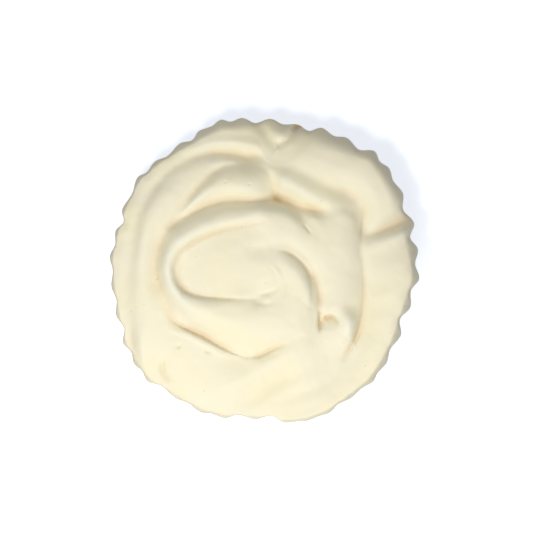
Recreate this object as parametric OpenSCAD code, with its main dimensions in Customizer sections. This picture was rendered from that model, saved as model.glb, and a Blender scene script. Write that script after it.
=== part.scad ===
// Shaving soap puck: a fluted moulded base with soft folds of soap swirled on top.
// Millimetres, +Z up, origin at the middle of the foot.

/* [Overall size] */
// Diameter across the flute tips
puck_d = 72; // [60:1:90]
// Height of the moulded base, from the foot to the pour line
base_h = 16; // [10:0.5:24]
// Height of the upright wall above the pour line
wall_h = 2.5; // [1:0.25:4]
// Width of the rounded shoulder at the top of the wall
shoulder_w = 3.5; // [2:0.25:5]
// Width of the narrow rim fold on the left
rim_fold_w = 5; // [4:0.25:6.5]

/* [Moulded base] */
// How much smaller the foot is than the wall, on the radius
draft = 3; // [0:0.25:5]
// Chamfer round the foot
foot_chamfer = 0.8; // [0.2:0.1:1.5]

/* [Flutes] */
// Number of flutes round the wall
flute_count = 36; // [24:2:48]
// Depth of a flute
flute_depth = 1; // [0.4:0.1:1.6]
// Angle of the first flute tip
flute_phase = 6; // [0:0.5:10]

/* [Rim folds, height above the pour line] */
// Edge of the top, just inside the shoulder
edge_rise = 5; // [4:0.1:7]
// Edge of the broad upper right rim fold, which slopes away further
upper_edge_rise = 3.6; // [3:0.1:6]
// Crest of the narrow left rim fold
left_rim_crest = 6.4; // [5:0.1:9]
// Crest of the small knob on the rim
knob_crest = 6.8; // [5:0.1:9]
// Crest of the broad upper right rim fold
upper_rim_crest = 8; // [5:0.1:10]
// Crest of the right rim fold
right_rim_crest = 7.4; // [5:0.1:10]
// Crest of the strand along the bottom
strand_crest = 7.2; // [5:0.1:10]
// Crest of the broad lower fold
lower_crest = 8.6; // [5:0.1:11]

/* [Inner folds, height above the pour line] */
// Crest of the long left roll
roll_crest = 9; // [6:0.1:12]
// Shelf under the swirl
shelf_rise = 7.8; // [5:0.1:10]
// Crest of the arched lobe
lobe_crest = 8.8; // [6:0.1:12]
// Crest of the diagonal roll
diagonal_crest = 9; // [6:0.1:12]
// Crest of the right band
band_crest = 8.8; // [6:0.1:12]
// Crest of the small hook beside the swirl
hook_crest = 9; // [6:0.1:12]
// Crest of the swirl ribbon
ribbon_crest = 10.6; // [8:0.1:14]
// Crest of the curl at the end of the ribbon
curl_crest = 10; // [7:0.1:13]
// Floor inside the swirl
floor_rise = 9; // [6:0.1:10]
// Crease round the upper half of the floor
floor_crease = 8.4; // [5:0.1:9]

/* [Creases, height above the pour line] */
// Deepest creases
deep_crease = 4.8; // [3:0.1:5]
// Ordinary creases
crease = 6; // [4:0.1:7]
// Crease beside the bottom strand
strand_crease = 6.4; // [4:0.1:7]
// Soft valleys
valley = 7; // [5:0.1:8]

/* [Hollows] */
// Radius of the hollow in the hook
hollow_r = 1.8; // [1:0.1:2.5]
// Depth of the hollow in the hook
hollow_depth = 2.6; // [0.5:0.1:4]
// Radius of the notch at the end of the swirl crease
notch_r = 1.3; // [0.8:0.1:2]
// Depth of the notch
notch_depth = 1.4; // [0.2:0.1:2.5]

/* [Hidden] */

// The long crease inside the left rim fold, as [x, y]. The whole plan is scaled so that this crease leaves
// the rim fold its width.
left_crease = [
    [-31, -12], [-31, -6], [-30.8, 0], [-30.2, 5], [-29, 10], [-27, 15], [-24.4, 19.2], [-21.4, 22.6],
    [-18, 25], [-14, 26.7], [-10, 26.7]
];
plan = (puck_d / 2 - rim_fold_w) / -min([for (p = left_crease) p.x]);

// The outline is sampled at this many points to a flute.
points_per_flute = 4;
cell = 360 / (flute_count * points_per_flute);
// How far the hand-cast outline wanders out from round, every 15 degrees from +X.
wander = [-0.4, -0.2, 0.6, 1.2, 0, -1, -0.8, 0.2, -0.4, 0.1, 0.4, 0,
          0.2, 0.1, 1.2, 1.2, 0.4, -0.2, -1, 0.6, 0.2, 0.1, -0.8, -1.2];
// Points from one crease to the next across a fold, closer together beside the creases.
across = [0, 0.05, 0.14, 0.28, 0.5, 0.72, 0.86, 0.95, 1];
end_cells = len(across) - 1;
// Steps between two control points of a crease when it is smoothed.
fine_steps = 6;
// How fast the height of a fold's end fades along the fold.
end_fade = 6;

function lerp(a, b, f) = a + (b - a) * f;
function wrap(i, n) = ((i % n) + n) % n;
function reversed(list) = [for (i = [len(list) - 1:-1:0]) list[i]];

// A smooth curve through four neighbours, between the middle two.
function blend4(p0, p1, p2, p3, f) =
    ((2 * p1) + (p2 - p0) * f + (2 * p0 - 5 * p1 + 4 * p2 - p3) * f * f
     + (3 * p1 - p0 - 3 * p2 + p3) * f * f * f) / 2;

// A point or number of a list, carried on straight past its ends.
function carried(p, i) =
    i < 0 ? 2 * p[0] - p[1] : i >= len(p) ? 2 * p[len(p) - 1] - p[len(p) - 2] : p[i];
function curve_at(p, i, f) =
    blend4(carried(p, i - 1), carried(p, i), carried(p, i + 1), carried(p, i + 2), f);

// A value along a list of evenly spaced stations, with u from 0 to 1.
function along(list, u) =
    let(s = u * (len(list) - 1), i = min(floor(s), len(list) - 2))
    len(list) == 1 ? list[0] : curve_at(list, i, s - i);

// Outline of the wall: the wandering circle less its flutes.
function wander_at(a) =
    let(n = len(wander), s = wrap(a, 360) / 360 * n, i = floor(s),
        near = [for (k = [-1:2]) wander[wrap(i + k, n)]])
    blend4(near[0], near[1], near[2], near[3], s - i);
function wall_r(a) =
    puck_d / 2 + wander_at(a) * plan - flute_depth * abs(sin((a - flute_phase) * flute_count / 2));
function on_grid(a) = flute_phase + cell * round((a - flute_phase) / cell);
function rim_point(a, rise = edge_rise) = [wall_r(a) * cos(a), wall_r(a) * sin(a), rise];
function inside_wall(a, inset, rise) =
    let(r = wall_r(a) - inset * plan) [r * cos(a), r * sin(a), rise];

// Where the creases reach the wall, as angles from +X.
roll_start_a = on_grid(216);
knob_left_a = on_grid(91);
knob_right_a = on_grid(76);
right_crease_a = on_grid(16);
strand_start_a = on_grid(268.5);
strand_end_a = on_grid(256);
roll_foot_a = on_grid(236);

// Points where creases meet, as [x, y, height above the pour line].
function pt(x, y, z) = [x * plan, y * plan, z];
neck_outer = pt(-4, 26.1, crease);
neck_inner = pt(-4, 24.3, crease);
knob_tail_left = pt(2.4, 25.8, crease);
knob_tail_right = pt(3.4, 25.4, crease);
band_top = pt(22.6, 12, deep_crease);
right_crease_end = pt(22.1, 5.2, deep_crease);
band_foot = pt(22.6, -9.5, deep_crease);
lower_end = pt(18.8, -18.9, crease);
lobe_start = pt(-22.6, 9.2, crease);
lobe_end = pt(2.6, 16.8, deep_crease);
swirl_start = pt(11.5, 7.5, crease);
shelf_top = pt(-22.3, -10, valley);
shelf_end = pt(-3.6, -20.4, deep_crease);
swirl_end = pt(12.8, -13.8, crease);
floor_upper = pt(-18.2, 4.8, floor_crease);
floor_left = pt(-20.6, -0.5, valley);
floor_lower = pt(-18.8, -4.5, valley);
floor_right = pt(-1, 11.2, floor_rise);
curl_seat = pt(-5, -6.9, valley);
curl_tip = pt(2.4, -5.1, floor_crease);
curl_back = pt(9.6, 1.7, crease);
curl_head = pt(1, 5.3, crease);
curl_left = pt(-5, 4.2, floor_rise);
hook_top = pt(12.6, -9.5, crease);

// Each crease is a list of stretches that meet end to end.
outer_crease = [
    concat(
        [rim_point(roll_start_a), inside_wall(213, 0.6, deep_crease), inside_wall(208, 1.8, deep_crease)],
        [for (p = left_crease) pt(p.x, p.y, deep_crease)],
        [pt(-6.5, 26.3, crease), neck_outer]),
    [neck_outer, pt(-1, 26.1, crease), knob_tail_left],
    [knob_tail_left, knob_tail_right],
    [knob_tail_right, pt(6, 23.6, crease), pt(10, 21.3, crease), pt(14.5, 19.6, crease),
     pt(18.5, 18.2, crease), pt(21, 16.5, deep_crease), pt(22.4, 14.2, deep_crease), band_top],
    [band_top, pt(22.6, 9, deep_crease), right_crease_end],
    [right_crease_end, pt(22.1, 3, deep_crease), pt(22.6, 0.5, deep_crease), pt(22.9, -4, deep_crease),
     band_foot],
    [band_foot, pt(21.9, -13.5, deep_crease), pt(20.5, -16.5, deep_crease), lower_end],
    [lower_end, pt(17.6, -22.4, strand_crease), pt(15.4, -26, strand_crease),
     pt(12, -28.2, strand_crease), pt(8, -30.2, crease), pt(3.8, -31.6, crease), pt(1, -32.7, edge_rise),
     rim_point(strand_start_a)]
];
lobe_crease = [
    [lobe_start, pt(-20, 13, crease), pt(-17, 17, crease), pt(-14, 20.5, crease), pt(-11.5, 22.9, crease),
     pt(-9, 24.2, crease), pt(-6.5, 24.6, crease), neck_inner],
    [neck_inner, pt(-1.8, 23.2, crease), pt(-0.2, 21.3, crease), pt(0.9, 18.8, crease), lobe_end]
];
swirl_edge = [
    [swirl_start, pt(10.3, 9, deep_crease), pt(9, 11, deep_crease), pt(7, 13.5, deep_crease),
     pt(5, 15.3, deep_crease), lobe_end],
    [lobe_end, pt(-2, 16.9, deep_crease), pt(-8, 16.5, deep_crease), pt(-13, 15.3, deep_crease),
     pt(-17, 13.4, deep_crease), pt(-20.2, 11.3, deep_crease), lobe_start],
    [lobe_start, pt(-24.2, 6, crease), pt(-25.1, 2.5, crease), pt(-25.2, -1, crease),
     pt(-24.6, -4.5, crease), pt(-23.6, -7.3, crease), shelf_top],
    [shelf_top, pt(-20.5, -12.2, crease), pt(-17.5, -14.2, deep_crease), pt(-14, -16.2, deep_crease),
     pt(-10.5, -18.2, deep_crease), pt(-7, -19.6, deep_crease), shelf_end],
    [shelf_end, pt(-1.5, -19.8, deep_crease), pt(1, -18.7, deep_crease), pt(4, -17.1, crease),
     pt(7, -15.4, valley), pt(10, -14.2, valley), swirl_end]
];
floor_edge = [
    [floor_right, pt(-4, 10.7, floor_crease), pt(-8, 9.8, floor_crease), pt(-12, 8.6, floor_crease),
     pt(-15.5, 7, floor_crease), floor_upper],
    [floor_upper, pt(-20, 2.2, floor_crease), floor_left],
    [floor_left, pt(-20.2, -2.5, valley), floor_lower],
    [floor_lower, pt(-16.5, -5.9, valley), pt(-13.5, -6.6, valley), pt(-9, -6.9, valley), curl_seat],
    [curl_seat, pt(-2, -6.9, valley), pt(0.6, -6.4, floor_crease), curl_tip]
];
curl_edge = [
    [curl_left, pt(-2, 5, crease), curl_head],
    [curl_head, pt(4.2, 4.8, crease), pt(7.3, 3.5, crease), curl_back],
    [curl_back, pt(11, -1, crease), pt(12, -4, crease), pt(12.5, -7, crease), hook_top],
    [hook_top, pt(12.7, -11.5, crease), swirl_end]
];
lower_valley = [
    [rim_point(strand_end_a), pt(-4.5, -30.6, crease), pt(0, -27.6, crease), pt(4, -25.3, crease),
     pt(8, -23.2, valley), pt(12, -21.6, valley), pt(16, -20.2, valley), lower_end]
];
band_crease = [
    [lobe_end, pt(5.2, 16.2, deep_crease), pt(8, 15.1, crease), pt(11, 14.3, crease), pt(14, 13.8, crease),
     pt(17, 13.7, crease), pt(20, 13.1, crease), band_top]
];
shelf_valley = [
    [rim_point(roll_foot_a), pt(-19, -26.2, valley), pt(-16, -25.2, valley), pt(-12, -23.8, valley),
     pt(-8.5, -22.5, valley), pt(-6, -21.5, crease), shelf_end]
];
roll_foot = [
    [rim_point(roll_foot_a), pt(-21.4, -27, crease), pt(-22.8, -25.2, deep_crease),
     pt(-24, -22.8, deep_crease), pt(-24.3, -20.5, valley), pt(-23.2, -17, shelf_rise),
     pt(-22.2, -13.5, shelf_rise), shelf_top]
];
knob_left = [
    [rim_point(knob_left_a), pt(0, 31.8, deep_crease), pt(1.6, 29.8, deep_crease), pt(2.6, 28.2, crease),
     knob_tail_left]
];
knob_right = [
    [rim_point(knob_right_a), pt(7, 31.4, deep_crease), pt(5.4, 29.6, deep_crease), pt(4.2, 28.2, crease),
     knob_tail_right]
];
right_crease = [
    [rim_point(right_crease_a), pt(30, 8.4, deep_crease), pt(26, 6.9, deep_crease), right_crease_end]
];

// Joins where one fold runs on into the next with no crease between them.
neck_join = [[neck_outer, pt(-4, 25.2, valley), neck_inner]];
ribbon_join = [[swirl_start, pt(10.9, 5.4, band_crest), pt(10.3, 3.4, band_crest), curl_back]];
floor_join = [[floor_right, curl_head]];
curl_join = [[curl_left, pt(-5, 0.5, floor_rise), pt(-5, -3.5, floor_rise), curl_seat]];
arm_join = [[curl_tip, pt(4.6, -7.1, curl_crest), pt(7.4, -9.6, curl_crest), pt(10.2, -12, lower_crest),
             swirl_end]];
band_join = [[hook_top, pt(15, -9, band_crest), pt(18, -8.8, band_crest), pt(20.5, -9.2, crease),
              band_foot]];
hook_join = [[swirl_end, pt(14.8, -16, lower_crest), pt(17, -17.9, lower_crest), lower_end]];

// Hollows pressed into the folds, as [x, y, radius, depth].
hollows = [
    [15 * plan, -12.2 * plan, hollow_r, hollow_depth],
    [10.2 * plan, 9 * plan, notch_r, notch_depth]
];

// Control points of a whole crease, and the smoothed points of one of its stretches.
function control(curve) =
    [for (k = [0:len(curve) - 1]) for (i = [k == 0 ? 0 : 1:len(curve[k]) - 1]) curve[k][i]];
function first_of(curve, k) = k == 0 ? 0 : first_of(curve, k - 1) + len(curve[k - 1]) - 1;
function stretch(curve, k = 0) =
    let(p = control(curve), s = first_of(curve, k), n = len(curve[k]) - 1)
    concat([for (i = [s:s + n - 1]) for (f = [0:fine_steps - 1]) curve_at(p, i, f / fine_steps)],
           [p[s + n]]);

// Stretches joined end to end, then cut again at given shares of the length.
function joined(parts) =
    [for (k = [0:len(parts) - 1]) for (i = [k == 0 ? 0 : 1:len(parts[k]) - 1]) parts[k][i]];
function step_to(p, i) = i < len(p) ? norm(flat(p[i]) - flat(p[i - 1])) : 0;
function lengths(p) = [for (i = 0, s = 0; i < len(p); i = i + 1, s = s + step_to(p, i)) s];
function flat(p) = [p.x, p.y];
function cut_at(p, shares) =
    let(s = lengths(p), total = s[len(s) - 1],
        table = [for (axis = [0:2]) [for (i = [0:len(p) - 1]) [s[i], p[i][axis]]]])
    [for (f = shares)
        f <= 0 ? p[0] : f >= 1 ? p[len(p) - 1] : [for (axis = [0:2]) lookup(f * total, table[axis])]];
function even(n) = [for (i = [0:n]) i / n];
function rail(parts, cells) = joined([for (k = [0:len(parts) - 1]) cut_at(parts[k], even(cells[k]))]);

// An arc of the wall's outline, and the number of its cells.
function arc_cells(a0, a1) = round(abs(a1 - a0) / cell);
function wall_arc(a0, a1, rise = edge_rise) =
    [for (f = even(arc_cells(a0, a1))) rim_point(lerp(a0, a1, f), rise)];
function wall_end(a0, a1) = [for (f = even(end_cells)) rim_point(lerp(a0, a1, f))];
// Part of a stretch, by shares of its length.
function part(p, f0, f1) = cut_at(p, [for (f = even(len(p) - 1)) lerp(f0, f1, f)]);
function held(p, n) = [for (i = [1:n]) p];
function single(p) = held(p, len(across));

// Height of a fold's flank from a crease, 0, to its crest, 1: sharp is 0 for a soft valley, 1 for a crease
// and 2 for a steep one.
function flank(s, sharp) =
    let(soft = (1 - cos(180 * s)) / 2, plain = sin(90 * s), steep = sqrt(1 - (1 - s) * (1 - s)))
    sharp < 1 ? lerp(soft, plain, sharp) : lerp(plain, steep, sharp - 1);
function crowned(z_a, z_b, crest, at, v, sharp) =
    v < at
        ? lerp(z_a, crest, flank(v / at, sharp[0]))
        : lerp(z_b, crest, flank((1 - v) / (1 - at), sharp[1]));

// The shoulder brings every fold down to the top of the wall.
function shoulder(p) =
    let(inside = wall_r(atan2(p.y, p.x)) - norm(flat(p)), d = max(0, min(1, inside / shoulder_w)))
    sqrt(1 - (1 - d) * (1 - d));
function dent(p, h) = h[3] * exp(-pow(norm(flat(p) - [h[0], h[1]]) / h[2], 2));
function pressed(p, i = 0) = i < len(hollows) ? dent(p, hollows[i]) + pressed(p, i + 1) : 0;
function seated(p) = wall_h + (p.z - pressed(p) - wall_h) * shoulder(p);

// Top of a fold between rails a and b and ends l and r, as rows of points. The ends bend the rows beside
// them, and reach says how fast that fades along the fold.
function fold_top(a, b, l, r, crest, at, sharp, reach) =
    let(n = len(a) - 1, m = len(across) - 1)
    [for (i = [0:n])
        let(u = i / n, near = pow(1 - u, reach), far = pow(u, reach), z_near = pow(1 - u, end_fade),
            z_far = pow(u, end_fade), top = along(crest, u), mid = along(at, u))
        [for (j = [0:m])
            let(v = across[j],
                place = lerp(a[i], b[i], v) + near * (l[j] - lerp(a[0], b[0], v))
                    + far * (r[j] - lerp(a[n], b[n], v)),
                z_l = crowned(a[0].z, b[0].z, along(crest, 0), along(at, 0), v, sharp),
                z_r = crowned(a[n].z, b[n].z, along(crest, 1), along(at, 1), v, sharp),
                z = crowned(a[i].z, b[i].z, top, mid, v, sharp) + z_near * (l[j].z - z_l)
                    + z_far * (r[j].z - z_r),
                p = i == 0 ? l[j] : i == n ? r[j] : j == 0 ? a[i] : j == m ? b[i] : [place.x, place.y, z])
            [p.x, p.y, base_h + seated(p)]]];

// Closed solid under rows of top points, down to the pour line.
module fold_solid(rows) {
    n = len(rows) - 1;
    m = len(across) - 1;
    count = (n + 1) * (m + 1);
    points = concat(
        [for (row = rows) for (p = row) p],
        [for (row = rows) for (p = row) [p.x, p.y, base_h]]);
    // Positive when the rails run anticlockwise round the plan.
    half = floor(n / 2);
    turn = cross(flat(rows[half][m]) - flat(rows[half][0]), flat(rows[n][m / 2]) - flat(rows[0][m / 2]));
    quads = concat(
        [for (i = [0:n - 1]) for (j = [0:m - 1]) [id(i, j), id(i + 1, j), id(i + 1, j + 1), id(i, j + 1)]],
        [for (i = [0:n - 1]) for (j = [0:m - 1])
            [count + id(i, j), count + id(i, j + 1), count + id(i + 1, j + 1), count + id(i + 1, j)]],
        [for (i = [0:n - 1]) [id(i, 0), count + id(i, 0), count + id(i + 1, 0), id(i + 1, 0)]],
        [for (i = [0:n - 1]) [id(i, m), id(i + 1, m), count + id(i + 1, m), count + id(i, m)]],
        [for (j = [0:m - 1]) [id(0, j), id(0, j + 1), count + id(0, j + 1), count + id(0, j)]],
        [for (j = [0:m - 1]) [id(n, j), count + id(n, j), count + id(n, j + 1), id(n, j + 1)]]);
    triangles = [for (q = quads) each [[q[0], q[1], q[2]], [q[0], q[2], q[3]]]];
    // A pointed end leaves triangles with no width, which are dropped.
    faces = [for (t = triangles)
        let(p = points[t[0]], q = points[t[1]], r = points[t[2]])
        if (p != q && q != r && r != p) t];
    polyhedron(points, turn > 0 ? faces : [for (f = faces) reversed(f)]);
}
function id(i, j) = i * len(across) + j;

module fold(a, b, l, r, crest, at, sharp, reach = 1) {
    fold_solid(fold_top(a, b, l, r, crest, at, sharp, reach));
}

// The moulded base: fluted wall with draft, chamfered foot, flat top at the pour line. Its chamfer runs on
// below the foot, where it is cut off flat.
module fluted_base() {
    n = flute_count * points_per_flute;
    rings = [
        [draft + 2 * foot_chamfer, -foot_chamfer],
        [draft * (1 - foot_chamfer / base_h), foot_chamfer],
        [0, base_h]
    ];
    last = len(rings) - 1;
    points = concat(
        [for (g = rings) for (i = [0:n - 1])
            let(a = flute_phase + cell * i, r = wall_r(a) - g[0]) [r * cos(a), r * sin(a), g[1]]],
        [[0, 0, -foot_chamfer], [0, 0, base_h]]);
    middle = len(rings) * n;
    faces = [for (i = [0:n - 1]) let(k = (i + 1) % n) each concat(
        [[middle, i, k], [middle + 1, last * n + k, last * n + i]],
        [for (g = [0:last - 1]) each
            [[g * n + i, (g + 1) * n + i, (g + 1) * n + k], [g * n + i, (g + 1) * n + k, g * n + k]]])];
    color("#efe6cb") difference() {
        polyhedron(points, faces);
        translate([-puck_d, -puck_d, -2 * foot_chamfer]) cube([2 * puck_d, 2 * puck_d, 2 * foot_chamfer]);
    }
}

module left_rim_fold() {
    n = arc_cells(roll_start_a, knob_left_a);
    color("#f1e9d0") fold(
        a = wall_arc(roll_start_a, knob_left_a),
        b = rail([joined([stretch(outer_crease, 0), stretch(outer_crease, 1)])], [n]),
        l = single(rim_point(roll_start_a)),
        r = cut_at(stretch(knob_left), across),
        crest = [edge_rise, left_rim_crest],
        at = [0.55],
        sharp = [0, 1]);
}

module rim_knob() {
    n = arc_cells(knob_left_a, knob_right_a);
    color("#f3ecd4") fold(
        a = wall_arc(knob_left_a, knob_right_a),
        b = rail([stretch(outer_crease, 2)], [n]),
        l = cut_at(stretch(knob_left), across),
        r = cut_at(stretch(knob_right), across),
        crest = [edge_rise, knob_crest, edge_rise],
        at = [0.4],
        sharp = [0, 0]);
}

module upper_rim_fold() {
    n = arc_cells(knob_right_a, right_crease_a);
    color("#f0e8ce") fold(
        a = wall_arc(knob_right_a, right_crease_a, upper_edge_rise),
        b = rail([joined([stretch(outer_crease, 3), stretch(outer_crease, 4)])], [n]),
        l = cut_at(stretch(knob_right), across),
        r = cut_at(stretch(right_crease), across),
        crest = [left_rim_crest, upper_rim_crest, upper_rim_crest, left_rim_crest],
        at = [0.62],
        sharp = [0.6, 0.8]);
}

module right_rim_fold() {
    n = arc_cells(right_crease_a + 360, strand_start_a);
    color("#efe7cd") fold(
        a = wall_arc(right_crease_a + 360, strand_start_a),
        b = rail([joined([for (k = [5:7]) stretch(outer_crease, k)])], [n]),
        l = cut_at(stretch(right_crease), across),
        r = single(rim_point(strand_start_a)),
        crest = [upper_rim_crest, right_rim_crest, right_rim_crest, right_rim_crest, strand_crest,
                 edge_rise],
        at = [0.6],
        sharp = [0, 1]);
}

module bottom_strand() {
    cells = [18];
    color("#f2ead1") fold(
        a = rail([stretch(outer_crease, 7)], cells),
        b = rail([reversed(stretch(lower_valley))], cells),
        l = single(lower_end),
        r = wall_end(strand_start_a, strand_end_a),
        crest = [crease, strand_crest, strand_crest, strand_crest],
        at = [0.5],
        sharp = [0.3, 0.8]);
}

module lower_fold() {
    cells = [12, 14];
    color("#f0e8ce") fold(
        a = rail([stretch(lower_valley)], [26]),
        b = rail([stretch(shelf_valley), joined([stretch(swirl_edge, 4), stretch(hook_join)])], cells),
        l = wall_end(strand_end_a, roll_foot_a),
        r = single(lower_end),
        crest = [valley, lower_crest, lower_crest, lower_crest, crease],
        at = [0.6],
        sharp = [0.5, 0.8]);
}

module swirl_shelf() {
    cells = [14];
    color("#eee5ca") fold(
        a = rail([stretch(shelf_valley)], cells),
        b = rail([stretch(swirl_edge, 3)], cells),
        l = rail([stretch(roll_foot)], [end_cells]),
        r = single(shelf_end),
        crest = [shelf_rise, shelf_rise, shelf_rise, deep_crease],
        at = [0.82],
        sharp = [0, 2]);
}

module left_roll() {
    outer = stretch(outer_crease, 0);
    // Shares of the outer crease that face the bend of the foot, and the whole of it.
    bend = 0.04;
    foot = 0.2;
    color("#f2ebd2") fold(
        a = rail([part(outer, 0, bend), part(outer, bend, foot), part(outer, foot, 1)], [4, 4, 26]),
        b = rail([stretch(roll_foot), reversed(stretch(swirl_edge, 2)), stretch(lobe_crease, 0)],
                 [end_cells, 10, 16]),
        l = wall_end(roll_start_a, roll_foot_a),
        r = cut_at(stretch(neck_join), across),
        crest = [valley, roll_crest, roll_crest, roll_crest, roll_crest, valley],
        at = [0.45],
        sharp = [1.6, 0.8],
        reach = 4);
}

module arch_lobe() {
    cells = [14, 8];
    color("#f1ead0") fold(
        a = rail([stretch(lobe_crease, 0), stretch(lobe_crease, 1)], cells),
        b = rail([reversed(stretch(swirl_edge, 1))], [22]),
        l = single(lobe_start),
        r = single(lobe_end),
        crest = [crease, lobe_crest, lobe_crest, lobe_crest, deep_crease],
        at = [0.55],
        sharp = [0.8, 1.2]);
}

module diagonal_roll() {
    cells = [10, 16];
    color("#f2ebd3") fold(
        a = rail([joined([stretch(outer_crease, 1), stretch(outer_crease, 2)]), stretch(outer_crease, 3)],
                 cells),
        b = rail([stretch(lobe_crease, 1), stretch(band_crease)], cells),
        l = cut_at(stretch(neck_join), across),
        r = single(band_top),
        crest = [valley, diagonal_crest, diagonal_crest, diagonal_crest, deep_crease],
        at = [0.55],
        sharp = [0.6, 1]);
}

module right_band() {
    cells = [8, 6, 9];
    color("#f0e8cd") fold(
        a = rail([reversed(stretch(swirl_edge, 0)), stretch(ribbon_join), stretch(curl_edge, 2)], cells),
        b = rail([joined([stretch(outer_crease, 4), stretch(outer_crease, 5)])], [23]),
        l = rail([stretch(band_crease)], [end_cells]),
        r = cut_at(stretch(band_join), across),
        crest = [band_crest],
        at = [0.55],
        sharp = [1.2, 1]);
}

module hook_curl() {
    cells = [9];
    color("#f3ecd5") fold(
        a = rail([stretch(curl_edge, 3)], cells),
        b = rail([stretch(outer_crease, 6)], cells),
        l = cut_at(stretch(band_join), across),
        r = cut_at(stretch(hook_join), across),
        crest = [band_crest, hook_crest, hook_crest, lower_crest],
        at = [0.5],
        sharp = [0.8, 1.2]);
}

module swirl_ribbon() {
    cells = [10, 3, 14, 8, 14, 10];
    outer = stretch(swirl_edge, 1);
    // Share of the outer edge that faces the corner of the floor.
    corner = 0.14;
    color("#f4edd6") fold(
        a = rail([stretch(swirl_edge, 0), part(outer, 0, corner), part(outer, corner, 1),
                  stretch(swirl_edge, 2), stretch(swirl_edge, 3), stretch(swirl_edge, 4)], cells),
        b = rail([reversed(stretch(curl_edge, 1)), reversed(stretch(floor_join)), stretch(floor_edge, 0),
                  joined([stretch(floor_edge, 1), stretch(floor_edge, 2)]), stretch(floor_edge, 3),
                  stretch(floor_edge, 4)], cells),
        l = cut_at(stretch(ribbon_join), across),
        r = cut_at(reversed(stretch(arm_join)), across),
        crest = [band_crest, curl_crest, ribbon_crest, ribbon_crest, ribbon_crest, curl_crest, curl_crest],
        at = [0.5, 0.35, 0.4, 0.5, 0.55, 0.55, 0.5],
        sharp = [1.4, 1.7],
        reach = 4);
}

module centre_curl() {
    cells = [3, 7, 9, 5];
    // The inner rail stops at the tip, and the outer one fans round it.
    seam_cells = cells[0] + cells[1];
    fan_cells = cells[2] + cells[3];
    color("#f3ecd4") fold(
        a = rail([for (k = [0:3]) stretch(curl_edge, k)], cells),
        b = concat(rail([stretch(floor_edge, 4)], [seam_cells]), held(curl_tip, fan_cells)),
        l = cut_at(stretch(curl_join), across),
        r = cut_at(reversed(stretch(arm_join)), across),
        crest = [floor_rise, curl_crest, curl_crest, curl_crest],
        at = [0.25],
        sharp = [1.3, 2]);
}

module swirl_floor() {
    cells = [14];
    color("#efe6cb") fold(
        a = rail([reversed(stretch(floor_edge, 0))], cells),
        b = rail([stretch(floor_edge, 3)], cells),
        l = rail([joined([stretch(floor_edge, 1), stretch(floor_edge, 2)])], [end_cells]),
        r = rail([stretch(floor_join), reversed(stretch(curl_edge, 0)), stretch(curl_join)], [2, 3, 3]),
        crest = [floor_crease, floor_rise, floor_rise],
        at = [0.4],
        sharp = [1, 1.6]);
}

fluted_base();
left_rim_fold();
rim_knob();
upper_rim_fold();
right_rim_fold();
bottom_strand();
lower_fold();
swirl_shelf();
left_roll();
arch_lobe();
diagonal_roll();
right_band();
hook_curl();
swirl_ribbon();
centre_curl();
swirl_floor();
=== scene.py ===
"""Shaving soap puck: a fluted moulded base under soft folds of soap that were swirled by hand."""

import functools
import math
from collections import namedtuple

import bpy
import numpy as np
from bpy.props import FloatProperty, FloatVectorProperty, IntProperty, PointerProperty
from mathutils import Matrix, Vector
from mathutils.geometry import delaunay_2d_cdt


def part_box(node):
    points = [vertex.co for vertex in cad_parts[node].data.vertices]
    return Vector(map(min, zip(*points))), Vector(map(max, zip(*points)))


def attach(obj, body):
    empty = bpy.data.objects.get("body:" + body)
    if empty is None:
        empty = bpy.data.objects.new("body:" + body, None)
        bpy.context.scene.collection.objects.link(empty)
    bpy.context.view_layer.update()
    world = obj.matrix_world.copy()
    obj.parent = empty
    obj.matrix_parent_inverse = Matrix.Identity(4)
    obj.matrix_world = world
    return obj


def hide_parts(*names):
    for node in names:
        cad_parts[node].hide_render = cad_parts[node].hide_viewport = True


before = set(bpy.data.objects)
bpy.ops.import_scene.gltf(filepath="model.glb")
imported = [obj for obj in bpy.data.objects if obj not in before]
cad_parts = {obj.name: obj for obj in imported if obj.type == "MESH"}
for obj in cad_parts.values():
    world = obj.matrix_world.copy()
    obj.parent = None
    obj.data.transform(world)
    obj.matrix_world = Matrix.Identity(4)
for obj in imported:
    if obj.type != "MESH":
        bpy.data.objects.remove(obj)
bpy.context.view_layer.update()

bl_info = {
    "name": "Shaving soap puck",
    "version": (1, 0, 0),
    "blender": (4, 5, 0),
    "location": "View3D > Sidebar > Soap",
    "description": "Builds a cast puck of shaving soap with a fluted wall and a swirled top",
    "category": "Add Mesh",
}

BODY = "root"
MM = 0.001
# Decimal places of the sizes that users set, in millimetres or degrees.
ROUNDED = 6
BASE_SLOT = "moulded_soap"
FOLD_SLOT = "swirled_soap"

# Heights above the pour line, in millimetres: where a fold meets the wall, and the creases.
EDGE = 6.0
LEFT_EDGE = 6.8
KNOB_EDGE = 3.0
UPPER_EDGE = 7.2
RIGHT_EDGE = 9.2
DEEPEST = 4.4
DEEP = 5.4
CREASE = 6.4
STRAND_CREASE = 7.4
SHALLOW = 7.0
VALLEY = 7.6
FAINT = 8.2
FLOOR_CREASE = 8.6
# Crests of the folds.
LEFT_RIM = 7.4
KNOB = 7.6
RIGHT_TOP = 9.8
RIGHT_RIM = 9.2
STRAND = 8.0
LOWER = 8.6
ROLL = 9.0
SHELF = 7.8
LOBE = 8.8
DIAGONAL = 9.0
BAND = 8.8
HOOK = 9.6
RIBBON = 10.6
CURL = 10.0
FLOOR = 9.0

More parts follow.
